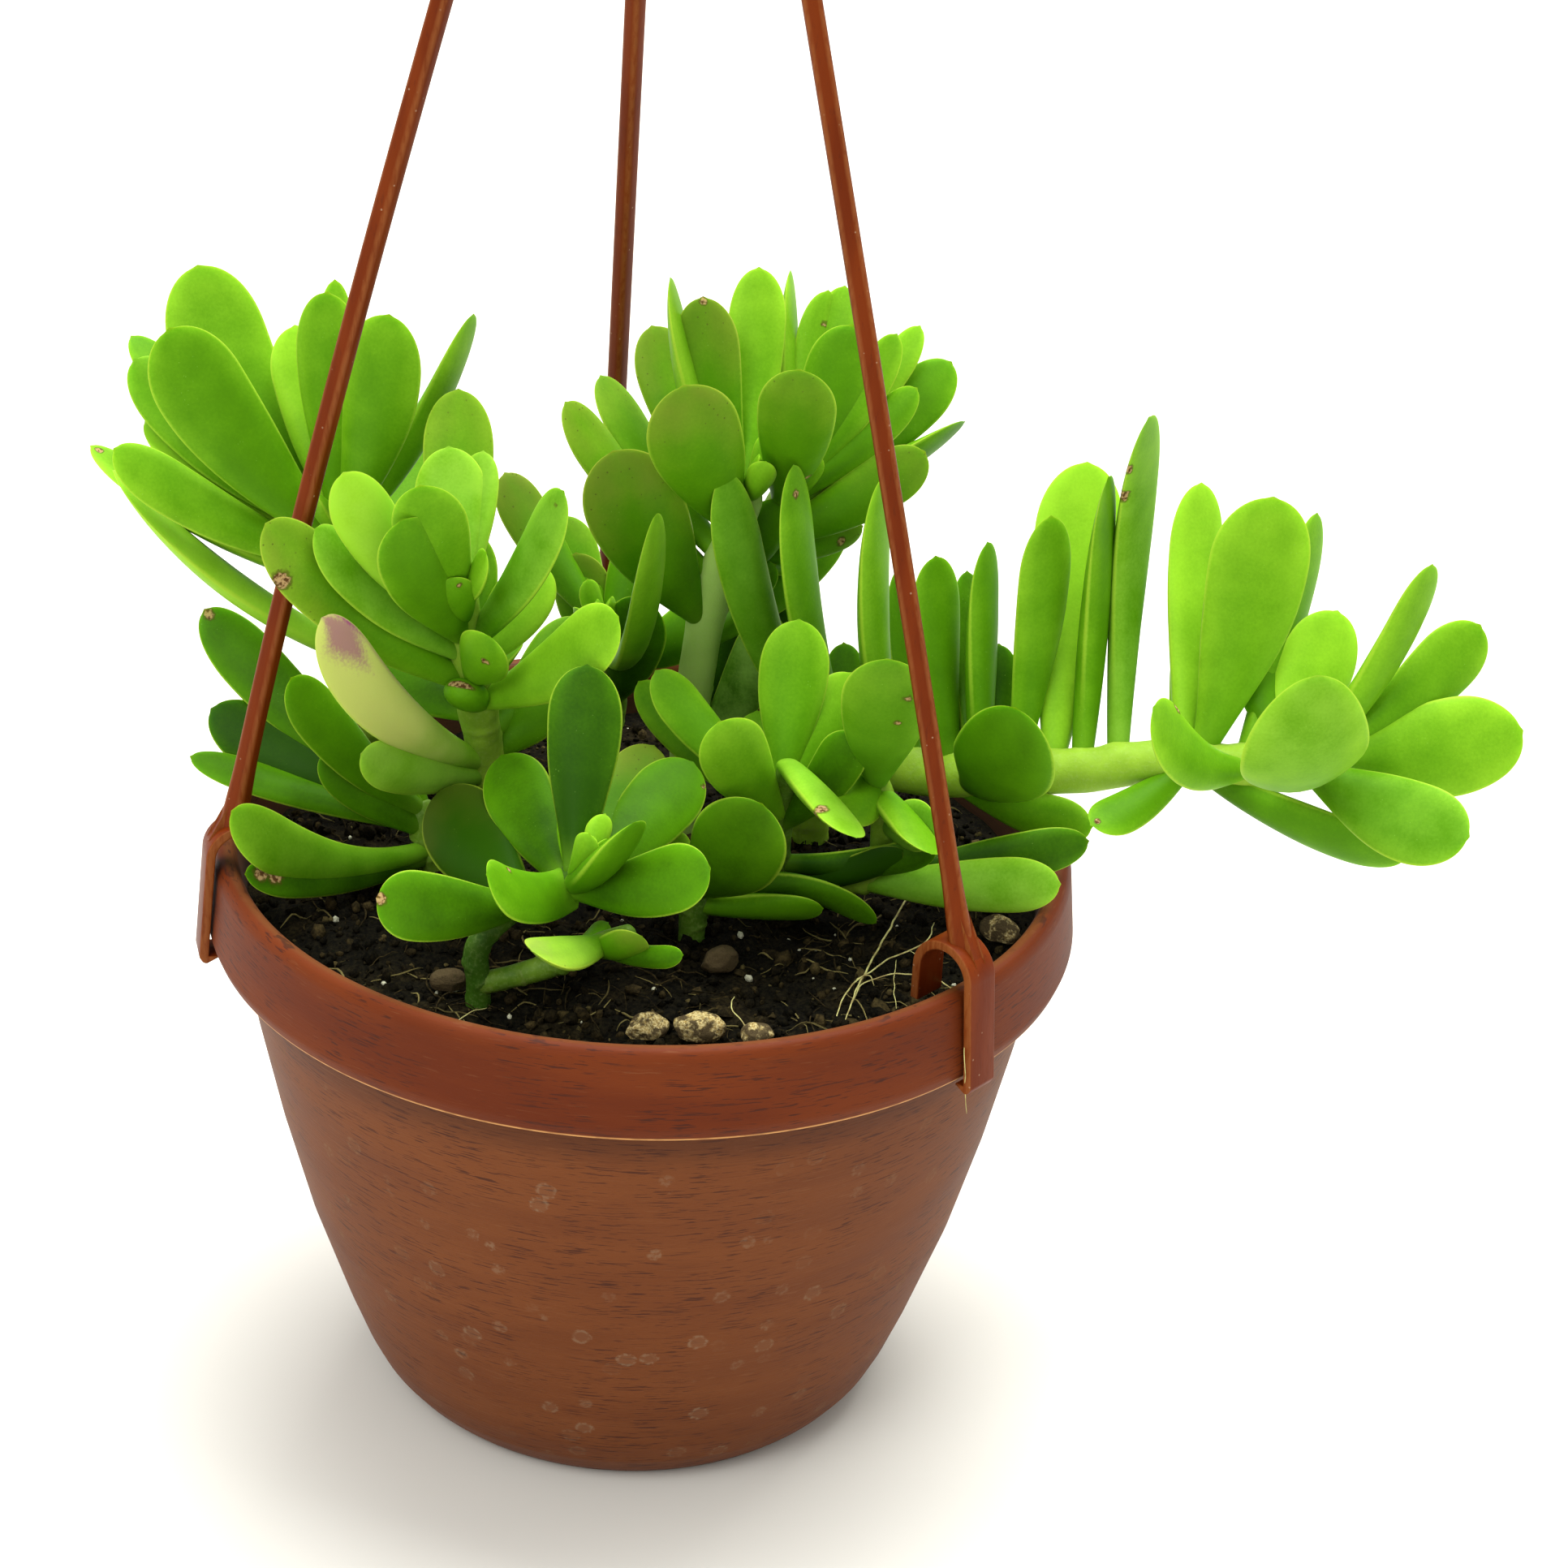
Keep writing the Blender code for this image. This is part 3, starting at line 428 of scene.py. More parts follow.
def fibre_skins():
    """Thin bent fibres that lie on the bed, each a tube that tapers at both ends; with their tones."""
    draw = np.random.default_rng(21)
    skins = []
    tones = []
    s = np.linspace(-1, 1, FIBRE_POINTS)
    for _ in range(FIBRES):
        far = FIBRE_SPREAD * draw.uniform(0, 1) ** 0.5
        angle = draw.uniform(0, 2 * pi)
        way = draw.uniform(0, 2 * pi)
        half = draw.uniform(*FIBRE_HALF)
        bend = draw.uniform(-FIBRE_BEND, FIBRE_BEND) * half
        lift = draw.uniform(*FIBRE_LIFT)
        x = far * sin(angle) + half * s * cos(way) - bend * s ** 2 * sin(way)
        y = -far * cos(angle) + half * s * sin(way) + bend * s ** 2 * cos(way)
        keep = np.minimum(1.0, FIBRE_EDGE / np.maximum(np.hypot(x, y), 1.0))
        x, y = x * keep, y * keep
        z = soil_height(x, y) + 0.25 + lift * (1 - s ** 2)
        radius = draw.uniform(*FIBRE_RADIUS) * (1 - 0.7 * s ** 2)
        skins.append(skin(swept(np.stack([x, y, z], axis=-1), radius, (0, 0, 1), FIBRE_SIDES)))
        tones.append(np.full(len(skins[-1][0]), draw.uniform(*FIBRE_TONE)))
    return skins, tones


def soil_finish():
    """Peat: near black, with brown lumps; a crumb's tone runs from black over brown and ochre to white."""
    finish, shader, place = new_finish("peat_soil", Specular_IOR_Level=0.04)
    tone = field(place, "tone", 2)
    grain = noise(place, 1.3, 4, 0.6)
    wide = noise(place, 0.09, 2)
    dark = mix(rise(grain, 0.35, 0.7), (0.0030, 0.0028, 0.0020), (0.0120, 0.0100, 0.0050))
    brown = mix(rise(grain, 0.3, 0.7), (0.0170, 0.0125, 0.0055), (0.0650, 0.0470, 0.0170))
    ground = mix(rise(wide, 0.48, 0.72) * 0.28, dark, brown)
    colour = coated(ground, (rise(tone, 0.12, 0.60), brown), (rise(tone, 0.55, 0.85), (0.210, 0.175, 0.060)),
                    (rise(tone, 0.90, 0.98), (0.600, 0.600, 0.420)))
    paint(shader, colour, 0.85 + grain * 0.15, noise(place, 2.4, 4, 0.65), 0.5, 0.8)
    return finish


peat = soil_finish()
bed = soil_skin()
crumbs, crumb_tones = crumb_skins()
fibres, fibre_tones = fibre_skins()
soil = new_piece("peat_bed", [bed, crumbs, *fibres], [peat],
                 {"tone": [np.zeros(len(bed[0])), crumb_tones, *fibre_tones]}, sharp=60)
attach(soil, "root")
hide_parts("soil")

# Stones. Six loose pale stones on the soil in front and at the right: worn limestone grit, flat underneath,
# held by nothing but their weight.
STONE_REST = 101.3
STONES = [(1.5, -55.5, 8.0, 5.0, 4.0, 20, 1.0), (10.5, -55.5, 9.5, 5.5, 4.5, -5, 0.9),
          (20.5, -56.5, 6.0, 4.5, 3.5, 0, 0.8), (14.0, -31.5, 7.5, 5.5, 4.0, 35, 0.25),
          (65.0, -17.0, 8.0, 5.5, 4.0, -35, 0.75), (-33.5, -41.5, 6.5, 4.5, 3.5, 10, 0.15)]
STONE_ROWS = 40
STONE_COLUMNS = 56
FACETS = 14
FACET_DEPTH = (0.80, 0.95)
STONE_DENTS = [(0.045, 0.9), (0.022, 0.3)]


def stone_skin(x, y, length, width, height, turn, number):
    """A pebble: a ball's rows and columns, dented by ripples and by flat facets, then stretched, its lower
    part pressed flat."""
    draw = np.random.default_rng(40 + number)
    polar = pi * (np.arange(STONE_ROWS) + 1) / (STONE_ROWS + 1)
    ball = level_rings(np.sin(polar), np.cos(polar), STONE_COLUMNS)
    every = np.concatenate([ball.reshape(-1, 3), [(0, 0, 1), (0, 0, -1)]])
    facets = draw.normal(size=(3, FACETS))
    facets /= np.linalg.norm(facets, axis=0)
    depths = draw.uniform(*FACET_DEPTH, FACETS) / np.maximum(every @ facets, 0.3)
    reach = np.minimum(1.0, depths.min(axis=1))
    for depth, wave in STONE_DENTS:
        reach = reach + depth * ripple(every, draw, wave)
    every = every * reach[:, None]
    every = every * (length / 2, width / 2, height * 0.7) + (0, 0, height * 0.35)
    every[:, 2] = np.where(every[:, 2] < 0, every[:, 2] * 0.02, every[:, 2])
    c, s = cos(radians(turn)), sin(radians(turn))
    every = np.stack([x + every[:, 0] * c - every[:, 1] * s, y + every[:, 0] * s + every[:, 1] * c,
                      STONE_REST + every[:, 2]], axis=-1)
    return skin(every[:-2].reshape(STONE_ROWS, STONE_COLUMNS, 3), every[-2], every[-1])


def stone_finish():
    """Chalky grit: pale cream where it is clean, brown in its hollows and where peat clings to it."""
    finish, shader, place = new_finish("chalky_stone", Specular_IOR_Level=0.1)
    clean = field(place, "clean", 2)
    grain = noise(place, 1.2, 4, 0.6)
    dirt = rise(grain * 0.6 + noise(place, 0.45) * 0.9 - clean * 0.42, 0.24, 0.44)
    chalk = mix(rise(noise(place, 3.0, 2), 0.35, 0.65), (0.300, 0.205, 0.060), (0.620, 0.520, 0.240))
    colour = coated(chalk, (dirt, (0.070, 0.050, 0.022)),
                    (rise(cells(place, 1.6), 0.22, 0.12) * 0.7, (0.03, 0.02, 0.012)))
    paint(shader, colour, 0.8 + grain * 0.15, grain + noise(place, 4.0) * 0.5, 0.4, 0.8)
    return finish


chalk = stone_finish()
for number, (*size, clean) in enumerate(STONES):
    shape = stone_skin(*size, number)
    stone = new_piece(f"pebble_{number + 1}", [shape], [chalk], {"clean": [np.full(len(shape[0]), clean)]})
    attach(stone, "root")
    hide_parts(f"stone_{number + 1}")

# Shoots. Nine leafy shoots rooted in the soil, some with a branch: round green stems, and fleshy leaves that
# grow from them singly, narrow at the foot and broad and round at the end, with a pale margin that is painted
# brighter where light would shine through it.
# A leaf's row gives its place up the stem (0 root, 1 top), its tip (x, y, z), its blade's width, the turn of
# its face in degrees, its tone (darker to lighter: partly the leaf's own colour, partly painted shade on
# leaves low among others and painted light on leaves that the lamps catch or shine through), and what else
# sets it
# apart: bow, olive, bloom, blush, or marks with the place along the blade, the place across it and the
# radius.
# A stem's tone is painted the same way. A stem's back is the rule for the leaves at the back of its head: how
# many, the middle of their fan and its spread in degrees, their length, and the lowest and highest place on
# the stem.
SHOOTS = {
    "shoot_left_tall": [dict(
        radius=3.2, tone=0.2, back=(3, 205, 90, 42, 0.72, 0.95),
        points=[(-50, 29, 89), (-50, 29, 103), (-51, 28, 116), (-56, 24, 137), (-57, 21, 153),
                (-57, 19, 163)],
        leaves=[
            (0.94, -85, 43, 202, 18, 5, 0.2, dict(bow=0.1)), (0.92, -87, 18, 199, 16.5, 0, 0),
            (0.94, -96, 36, 186, 13, 20, 0), (0.98, -97, 40, 189, 10, 40, 0),
            (0.87, -94, 34, 175, 11.5, 55, 0.9), (0.87, -97, 15, 177, 10.5, 20, 0.2),
            (0.82, -104, 33, 170, 11, 60, 0.3, dict(marks=[(0.97, 0, 0.8)])),
            (0.60, -98, 19, 171, 12, 75, 0.8, dict(bow=0.06, bloom=0.3)),
            (0.98, -67, 38, 193, 12, 20, 0.5), (0.96, -60, 26, 204, 12, -10, 0.2),
            (1.00, -60, 41, 201, 7, 30, 0.2), (0.98, -48, 13, 205, 14.5, -10, 0),
            (0.96, -34, 26, 201, 11, 80, 0.3),
        ],
    )],
    "shoot_centre_left": [dict(
        radius=3.4, tone=0.0, back=(2, 165, 50, 30, 0.55, 0.75),
        points=[(-28, 4, 89), (-28, 4, 103), (-29, 2, 120), (-31, -3, 139), (-33, -6, 153), (-34, -8, 163)],
        leaves=[
            (0.86, -53, -21, 189, 11, 0, 0.9, dict(bloom=0.3)),
            (0.80, -58, -20, 178, 10.5, 35, 0.1, dict(bloom=0.3)),
            (0.71, -66, -23, 180, 12.8, 15, 0.1, dict(olive=0.6, marks=[(0.84, -0.8, 1.7)])),
            (0.91, -40, -23, 188, 13, 0, 0.1), (0.85, -43, -24, 182, 13.5, 10, -0.1),
            (0.96, -37, 7, 183, 13, 5, 0.3, dict(bloom=0.4)),
            (0.95, -31, 8, 182, 8, -20, 0.3, dict(bloom=0.4)),
            (0.86, -36, 17, 190, 12.5, 5, 0.1, dict(olive=0.45)),
            (0.83, -16, -16, 185, 11, -40, 0, dict(bloom=0.3, marks=[(0.93, 0, 0.5)])),
            (0.96, -29, -18, 174, 5.5, -40, 0.2),
            (0.91, -35, -18, 169, 8, 10, 0, dict(marks=[(0.9, 0.4, 0.5)])),
            (0.77, -20, 7, 161, 11, 0, 0.4), (0.72, -25, 15, 143, 6, -45, 0),
            (0.74, -28, -20, 159, 10.5, 0, 0, dict(marks=[(0.75, 0.2, 0.8)])),
            (0.66, -6, -25, 166, 12.5, -15, 0.3), (0.49, -16, 6, 139, 10, -10, -0.1),
            (0.47, -56, -30, 166, 11.5, 20, 0.8, dict(bow=0.08, bloom=0.5, blush=0.9)),
            (0.43, -50, -23, 137, 9, -10, 0.4, dict(bloom=0.4, blush=0.05)),
            (0.62, -51, 14, 140, 12, 20, -0.4), (0.83, -25, 23, 147, 6, 0, 0),
            (0.66, -34, -12, 145, 8, 0, 0, dict(stub=True)),
        ],
    )],
    "shoot_back_small": [dict(
        radius=2.6, tone=-0.4, back=(2, 120, 50, 26, 0.8, 0.95),
        points=[(-9, 46, 89), (-9, 46, 103), (-7, 44, 117), (-9, 38, 135)],
        leaves=[
            (1.00, -29, 54, 159, 9.5, 20, -0.2, dict(olive=0.9)),
            (0.92, -18, 53, 151, 10, 10, 0, dict(olive=0.3)),
            (0.73, -15, 47, 146, 11, 0, 0, dict(olive=0.9)),
            (0.85, 0, -3, 176, 9.5, 75, 0.3, dict(bow=0.15, olive=0.2)),
            (0.60, -2, 32, 144, 12.5, -10, -0.8),
        ],
    )],
    "shoot_centre_back": [dict(
        radius=3.4, tone=0.3, grey=0.8, back=(2, 160, 60, 38, 0.6, 0.9),
        points=[(7, 23, 89), (7, 23, 103), (8, 22, 127), (10, 20, 146), (14, 18, 163), (17, 16, 174)],
        leaves=[
            (0.75, -17, 23, 186, 10.5, 40, 0.1, dict(olive=0.6)),
            (0.81, -11, 37, 186, 10.5, 45, 0.1, dict(olive=0.4)),
            (0.89, -2, 37, 196, 11.5, 10, 0, dict(olive=0.7)),
            (0.92, 1, 24, 210, 11, 75, 0.3, dict(olive=0.3)),
            (0.94, 7, 23, 207, 11.5, -5, 0, dict(olive=0.7, marks=[(0.985, 0, 0.7)])),
            (0.89, 4, 0, 199, 17, 0, 0, dict(olive=0.8)), (0.65, -8, 8, 183, 18, 0, 0, dict(olive=0.9)),
            (0.98, 17, 37, 208, 10.5, 5, 0.4), (0.36, 23, 31, 146, 14, 0, -0.9),
            (0.28, 22, 20, 147, 10, 0, -0.4, dict(bloom=1.0)),
        ],
    ), dict(
        radius=2.8, tone=0.2, grey=0.3, back=(2, 165, 80, 38, 0.6, 0.95),
        points=[(10, 20, 146), (15, 22, 155), (20, 23, 163), (24, 24, 170)],
        leaves=[
            (0.94, 23, 45, 205, 11, 80, 0.3),
            (0.93, 30, 43, 202, 9.5, 20, 0.3, dict(marks=[(0.85, 0, 0.7)])),
            (0.96, 33, 43, 203, 9.5, -20, 0.2), (0.93, 34, 28, 201, 12.5, -5, 0),
            (0.97, 42, 27, 200, 7.5, -20, 0.3), (1.00, 47, 40, 197, 7.5, -25, 0.3),
            (0.94, 53, 38, 191, 11, -10, 0), (0.94, 46, 24, 191, 7, -10, 0),
            (0.87, 56, 34, 181, 11, 80, 0), (0.60, 48, 21, 180, 10.5, 15, 0, dict(olive=0.4)),
            (0.91, 24, 2, 202, 14, 0, 0, dict(olive=0.4, marks=[(0.35, 0.8, 0.6)])),
            (0.23, 22, 20, 170, 8.5, 20, -0.1),
            (0.62, 27, 43, 162, 6, 0, 0.1, dict(olive=0.5, marks=[(0.75, 0.2, 1.3)])),
            (0.47, 34, 45, 150, 7, 0, 0, dict(olive=0.8, marks=[(0.62, 0, 1)])),
            (0.46, 38, 28, 162, 6, 30, 0, dict(olive=0.5, marks=[(0.8, 0.2, 0.9)])),
            (0.14, 22, 20, 157, 7.5, 0, -0.5),
        ],
    )],
    "shoot_right_arching": [dict(
        radius=3.9, tone=0.4, bud=False, back=(2, 185, 40, 38, 0.75, 0.9),
        points=[(31, 22, 89), (31, 22, 103), (32, 20, 119), (46, 12, 120), (57, 6, 122), (67, 2, 125),
                (80, 0, 127), (95, 0, 130), (110, -2, 130), (121, -4, 133), (128, -5, 137)],
        leaves=[
            (0.23, 12, 7, 180, 9.5, 15, 0, dict(bloom=0.2)),
            (0.27, 24, 7, 182, 10.5, 50, 0.1, dict(marks=[(0.92, -0.1, 0.9)])),
            (0.29, 36, 28, 138, 7, 0, -0.5), (0.26, 47, 36, 147, 5.5, 40, -0.4),
            (0.35, 40, 10, 179, 11, 60, 0.2), (0.38, 46, 32, 152, 8, 40, -0.2),
            (0.44, 51, 15, 162, 10.5, 30, 0), (0.47, 58, 27, 154, 8.5, 40, -0.6),
            (0.48, 60, 13, 166, 11, 60, 0), (0.50, 64, 17, 144, 7.5, 0, -0.7),
            (0.53, 71, 12, 172, 11, 30, 0.2), (0.58, 79, 31, 175, 17, 10, 0.9),
            (0.62, 80, 7, 182, 11, 65, 0.1, dict(bow=0.13, marks=[(0.74, 0.9, 1.1), (0.5, 0.9, 0.9)])),
            (0.67, 86, 6, 194, 12, 52, 0.4, dict(bow=0.18, bloom=0.4,
                 marks=[(0.88, -0.9, 0.9), (0.79, -0.9, 1.2)])),
            (0.76, 100, 28, 173, 12, 30, 0.6), (0.78, 110, 8, 179, 18, 0, 0.4),
            (0.84, 121, 23, 170, 11.5, 55, 0.3), (0.87, 125, 13, 155, 14.5, 10, 0.8),
            (0.93, 138, -1, 171, 11, 55, 0.3), (0.96, 150, 7, 156, 12.5, 15, 0.1),
            (0.97, 158, -3, 140, 18, 0, 0.3), (0.92, 114, -32, 163, 23, 0, 0.3, dict(bow=0.2, bloom=0.3)),
            (0.92, 145, -28, 131, 15, 0, 0.1, dict(bloom=0.2)), (0.77, 138, -12, 118, 11, 50, -0.1),
            (0.85, 88, -22, 151, 12.5, 25, 0.2, dict(bow=0.12, marks=[(0.78, 1, 1.3)])),
            (0.77, 80, -15, 124, 8.5, 25, 0, dict(bow=0.08, marks=[(0.95, 0, 0.6)])),
            (0.46, 64, -20, 149, 19, 0, -0.2, dict(bow=0.15)), (0.43, 81, -8, 120, 9, 20, 0.1),
        ],
    )],
    "shoot_centre": [dict(
        radius=2.3, tone=-0.6, bud=False, back=(1, 190, 0, 28, 0.6, 0.6),
        points=[(23, -10, 89), (23, -10, 103), (24, -12, 116), (24, -15, 127), (25, -18, 135)],
        leaves=[
            (0.86, 26, -4, 157, 12.5, 0, 0.1), (0.85, 36, -2, 146, 13, 30, 0.2),
            (0.79, 1, -4, 146, 9.5, 30, 0.1), (0.72, -2, 8, 138, 8.5, 15, 0.1),
            (0.74, 12, -32, 150, 12.5, 0, 0.3),
            (1.00, 36, -44, 135, 8.5, -60, 0.5, dict(bow=0.0, base=0.6, bloom=0.3,
                 marks=[(0.72, 0.8, 1.2)])),
            (0.68, 36, -22, 144, 9, 0, -0.5), (0.49, 52, -18, 119, 6.5, 30, -0.9),
            (0.38, 46, -18, 119, 6, 30, -1.4),
        ],
    ), dict(
        radius=2.6, tone=-0.1,
        points=[(24, -12, 106), (33, -11, 108), (42, -12, 111), (43, -12, 122), (40, -13, 133)],
        leaves=[
            (0.92, 40, -36, 165, 15.5, 0, 0.1, dict(olive=0.12, bloom=0.1,
                 marks=[(0.8, 0.5, 0.9), (0.66, 0.3, 0.9)])),
            (0.86, 50, -34, 127, 9, -60, 0.15, dict(bow=0.0, base=0.6)),
            (0.70, 51, -24, 129, 9.5, 0, 0, dict(bloom=0.3)), (0.95, 35, -24, 128, 9, 0, 0.1),
            (0.45, 80, -12, 119, 8.5, 10, -0.6, dict(bow=0.02)),
            (0.35, 74, -25, 117, 10, 0, 0.3, dict(bow=0.02, bloom=0.4)),
        ],
    )],
    "shoot_front": [dict(
        radius=2.2, tone=-0.8,
        points=[(-28, -45, 89), (-28, -45, 103), (-28, -45, 112), (-22, -43, 118), (-14, -42, 121),
                (-11, -42, 126)],
        leaves=[
            (0.95, -11, -26, 157, 13, 0, -0.8), (0.92, -26, -12, 132, 12.5, 0, -0.5),
            (0.93, 8, -14, 133, 13, -5, -0.4, dict(marks=[(0.93, 0.9, 0.5)])),
            (0.97, -13, -19, 130, 9, 10, 0), (0.95, 1, -10, 134, 11, 0, -0.1, dict(olive=0.8)),
            (0.91, -2, -55, 142, 11, 76, -0.3), (0.90, 11, -57, 135, 12, -10, -0.35),
            (0.90, -26, -62, 135, 10.5, 35, -0.1, dict(bow=0.1, base=0.75, marks=[(0.7, 0.7, 0.7)])),
            (0.76, -44, -64, 131, 12, 0, -0.55, dict(marks=[(0.985, 0, 1.1)])),
            (0.75, -37, -11, 124, 15.5, 0, -1.5, dict(olive=0.3)),
        ],
    ), dict(
        radius=2.1, tone=-0.4, bud=False,
        points=[(-28, -45, 104), (-15, -46, 109), (-6, -48, 115), (-1, -48, 117)],
        leaves=[
            (0.82, -18, -66, 123, 9.5, 55, 0.25, dict(olive=0.4, blush=0.1)),
            (0.75, 0, -58, 122, 7, 40, -0.1, dict(olive=0.6)), (0.58, -6, -34, 111, 4, 0, 0),
            (0.77, 7, -62, 121, 4, 0, -0.6),
        ],
    )],
    "shoot_left_low": [dict(
        radius=2.6, tone=-0.3, back=(1, 240, 0, 34, 0.9, 0.9),
        points=[(-39, 4, 89), (-39, 4, 102), (-40, 4, 109), (-42, 6, 113)],
        leaves=[
            (0.96, -83, 26, 141, 11.5, 10, -0.4, dict(marks=[(0.98, 0, 1)])),
            (0.90, -81, 17, 125, 12, 10, -1.0), (0.80, -84, 9, 119, 7, 30, -0.3, dict(bow=0.02)),
            (0.90, -64, -4, 142, 10, 20, -0.1), (0.76, -59, 0, 125, 9, 10, -0.5),
            (0.62, -72, -29, 128, 10.5, 0, 0.2, dict(bow=0.13, bloom=0.1)),
            (0.57, -70, -28, 115, 7.5, 10, -0.8, dict(marks=[(0.86, 0, 1.6), (0.93, 0.1, 1.4)])),
        ],
    )],
    "shoot_low_small": [dict(
        radius=2.4, tone=-0.6,
        points=[(9, -20, 89), (9, -20, 102), (9, -20, 107), (8, -20, 111)],
        leaves=[
            (0.98, 20, -33, 135, 17.5, 0, -0.5, dict(olive=0.1)),
            (0.84, 32, -26, 111, 7, 50, -0.1, dict(bow=0.0)),
            (0.92, 42, -20, 105, 6.5, 50, -0.5, dict(bow=-0.15)),
        ],
    )],
}
CARRIED = {"blade": (3,), "tint": (3,), "tone": (), "mark": (), "wood": (3,)}
FACING = np.array([-0.036, -0.890, 0.454])
LEAF_THICK = 5.3
FOOT_WIDTH = (2.9, 0.06)
LEAF_BOW = 0.05
LEAF_ROWS = 36
LEAF_COLUMNS = 26
LEAF_CUP = 0.05
MARGIN_SHARPNESS = 1.4
BACK_WIDTH = 11.0
BACK_BOW = 0.08
STUB_ROWS = 30
BUD_LEAVES = 4
BUD_LENGTH, BUD_LONGER = 7.0, 2.2
BUD_WIDTH, BUD_WIDER = 3.2, 0.7
STEM_POINTS = 110
STEM_COLUMNS = 28
NO_MARK = 3.0
TIP_ROUND = 0.35
FOOT_SUNK = 0.5
STUB_FLATNESS = 0.72
TONE_SPREAD = 0.12
TAPER = 0.15
SWELLING = (0.9, 2.6)
SCAR_STEP = 3.4
SCAR_HEIGHT, SCAR_WIDTH = 0.30, 0.55
STEM_RIPPLE = (0.16, 7.0)


def smooth_line(points, count):
    """A curve through the points, each stretch a Catmull-Rom cubic, at even steps of its length."""
    nodes = np.array(points, float)
    nodes = np.concatenate([[2 * nodes[0] - nodes[1]], nodes, [2 * nodes[-1] - nodes[-2]]])
    a, b, c, d = (nodes[k:len(nodes) - 3 + k, None] for k in range(4))
    t = np.linspace(0, 1, 40, endpoint=False)[None, :, None]
    line = 2 * b + (c - a) * t + (2 * a - 5 * b + 4 * c - d) * t ** 2 + (3 * b - 3 * c + d - a) * t ** 3
    line = np.concatenate([0.5 * line.reshape(-1, 3), nodes[-2:-1]])
    gone = np.concatenate([[0], np.cumsum(np.linalg.norm(np.diff(line, axis=0), axis=1))])
    wanted = np.linspace(0, gone[-1], count)
    return np.stack([np.interp(wanted, gone, line[:, k]) for k in range(3)], axis=-1)


def on_line(line, share):
    """The place on an evenly stepped line at the share of its length."""
    return np.array([np.interp(share * (len(line) - 1), np.arange(len(line)), line[:, k]) for k in range(3)])


def leaf_skin(foot, tip, width, turn, draw, bow=LEAF_BOW, base=0.0, marks=(), **_):
    """A fleshy leaf. Rows run along the midrib, which bows down and out by bow x length x 4s(1-s); columns
    run round a lens-shaped section, the thickness of which is |sin|^1.4 of the way round, so that both faces
    meet in a blunt margin. The width grows from a narrow foot, or from the share base, by sin^1.4 and then
    follows an arc to the round tip; the thickness is greatest near the middle and falls to a point by
    (1 - s^4)^0.75. The margins are bent a little towards the upper side. Returns the skin and what its points
    carry."""
    length = np.linalg.norm(tip - foot)
    run = (tip - foot) / length
    face = unit(FACING - (FACING @ run) * run)
    normal = face * cos(radians(turn)) + np.cross(run, face) * sin(radians(turn))
    down = np.array([run[0], run[1], -1.0])
    down = unit(down - (down @ run) * run)
    s = 1 - (1 - np.linspace(0, 1, LEAF_ROWS + 1)[:-1]) ** 1.7
    middle = foot + np.outer(s * length, run) + np.outer(bow * length * 4 * s * (1 - s), down)
    rest = unit(np.gradient(middle, axis=0))
    up = unit(normal - (rest @ normal)[:, None] * rest)
    across = np.cross(rest, up)
    widest = np.clip(1 - 0.72 * width / length, 0.58, 0.76)
    narrow = max(min((FOOT_WIDTH[0] + FOOT_WIDTH[1] * width) / width, 0.8), base)
    grown = narrow + (1 - narrow) * np.sin(pi / 2 * np.minimum(s / widest, 1)) ** 1.4
    rounding = np.sqrt(1 - (np.maximum(s - widest, 0) / (1 - widest)) ** 2.2)
    half = width / 2 * np.where(s < widest, grown, rounding)
    thick = LEAF_THICK / 2 * np.clip(0.55 + 0.04 * width, 0, 1.1)
    thick = thick * (0.66 + 0.34 * np.sin(pi * s ** 0.8)) * (1 - s ** 4) ** 0.75
    c, n = np.cos(turns_of(LEAF_COLUMNS)), np.sin(turns_of(LEAF_COLUMNS))
    lean = draw.uniform(-0.05, 0.05)
    waves = draw.uniform(1.2, 2.0) * s[:, None] + draw.uniform(0, 1) + 0.3 * np.sign(c)
    wave = 0.014 * np.sin(2 * pi * waves)
    wide = half[:, None] * c * (1 + lean * c + wave)
    cup = LEAF_CUP * -np.sign(normal @ down) * np.sin(pi * np.clip(s * 1.05, 0, 1)) ** 0.6
    lens = np.sign(n) * np.abs(n) ** (1 + (MARGIN_SHARPNESS - 1) * np.clip(s * 3, 0, 1)[:, None])
    high = thick[:, None] * lens + (cup * half)[:, None] * (c ** 2 - 0.35)
    rings = middle[:, None] + across[:, None] * wide[..., None] + up[:, None] * high[..., None]
    blade = np.stack(np.broadcast_arrays(c, s[:, None], 0.0), axis=-1).reshape(-1, 3)
    blade = np.concatenate([blade, [(0, 0, 0), (0, 1, 0)]])
    flat = np.stack([wide, np.broadcast_to((s * length)[:, None], wide.shape)], axis=-1).reshape(-1, 2)
    flat = np.concatenate([flat, [(0, 0), (0, length)]])
    near = np.full(len(flat), NO_MARK)
    for along, over, size in marks:
        spot = np.array([over * np.interp(along, s, half), along * length])
        near = np.minimum(near, np.linalg.norm(flat - spot, axis=1) / size)
    last = middle[-1] * 0.15 + tip * 0.85 + run * TIP_ROUND
    return skin(rings, foot - run * FOOT_SUNK, last), blade, near


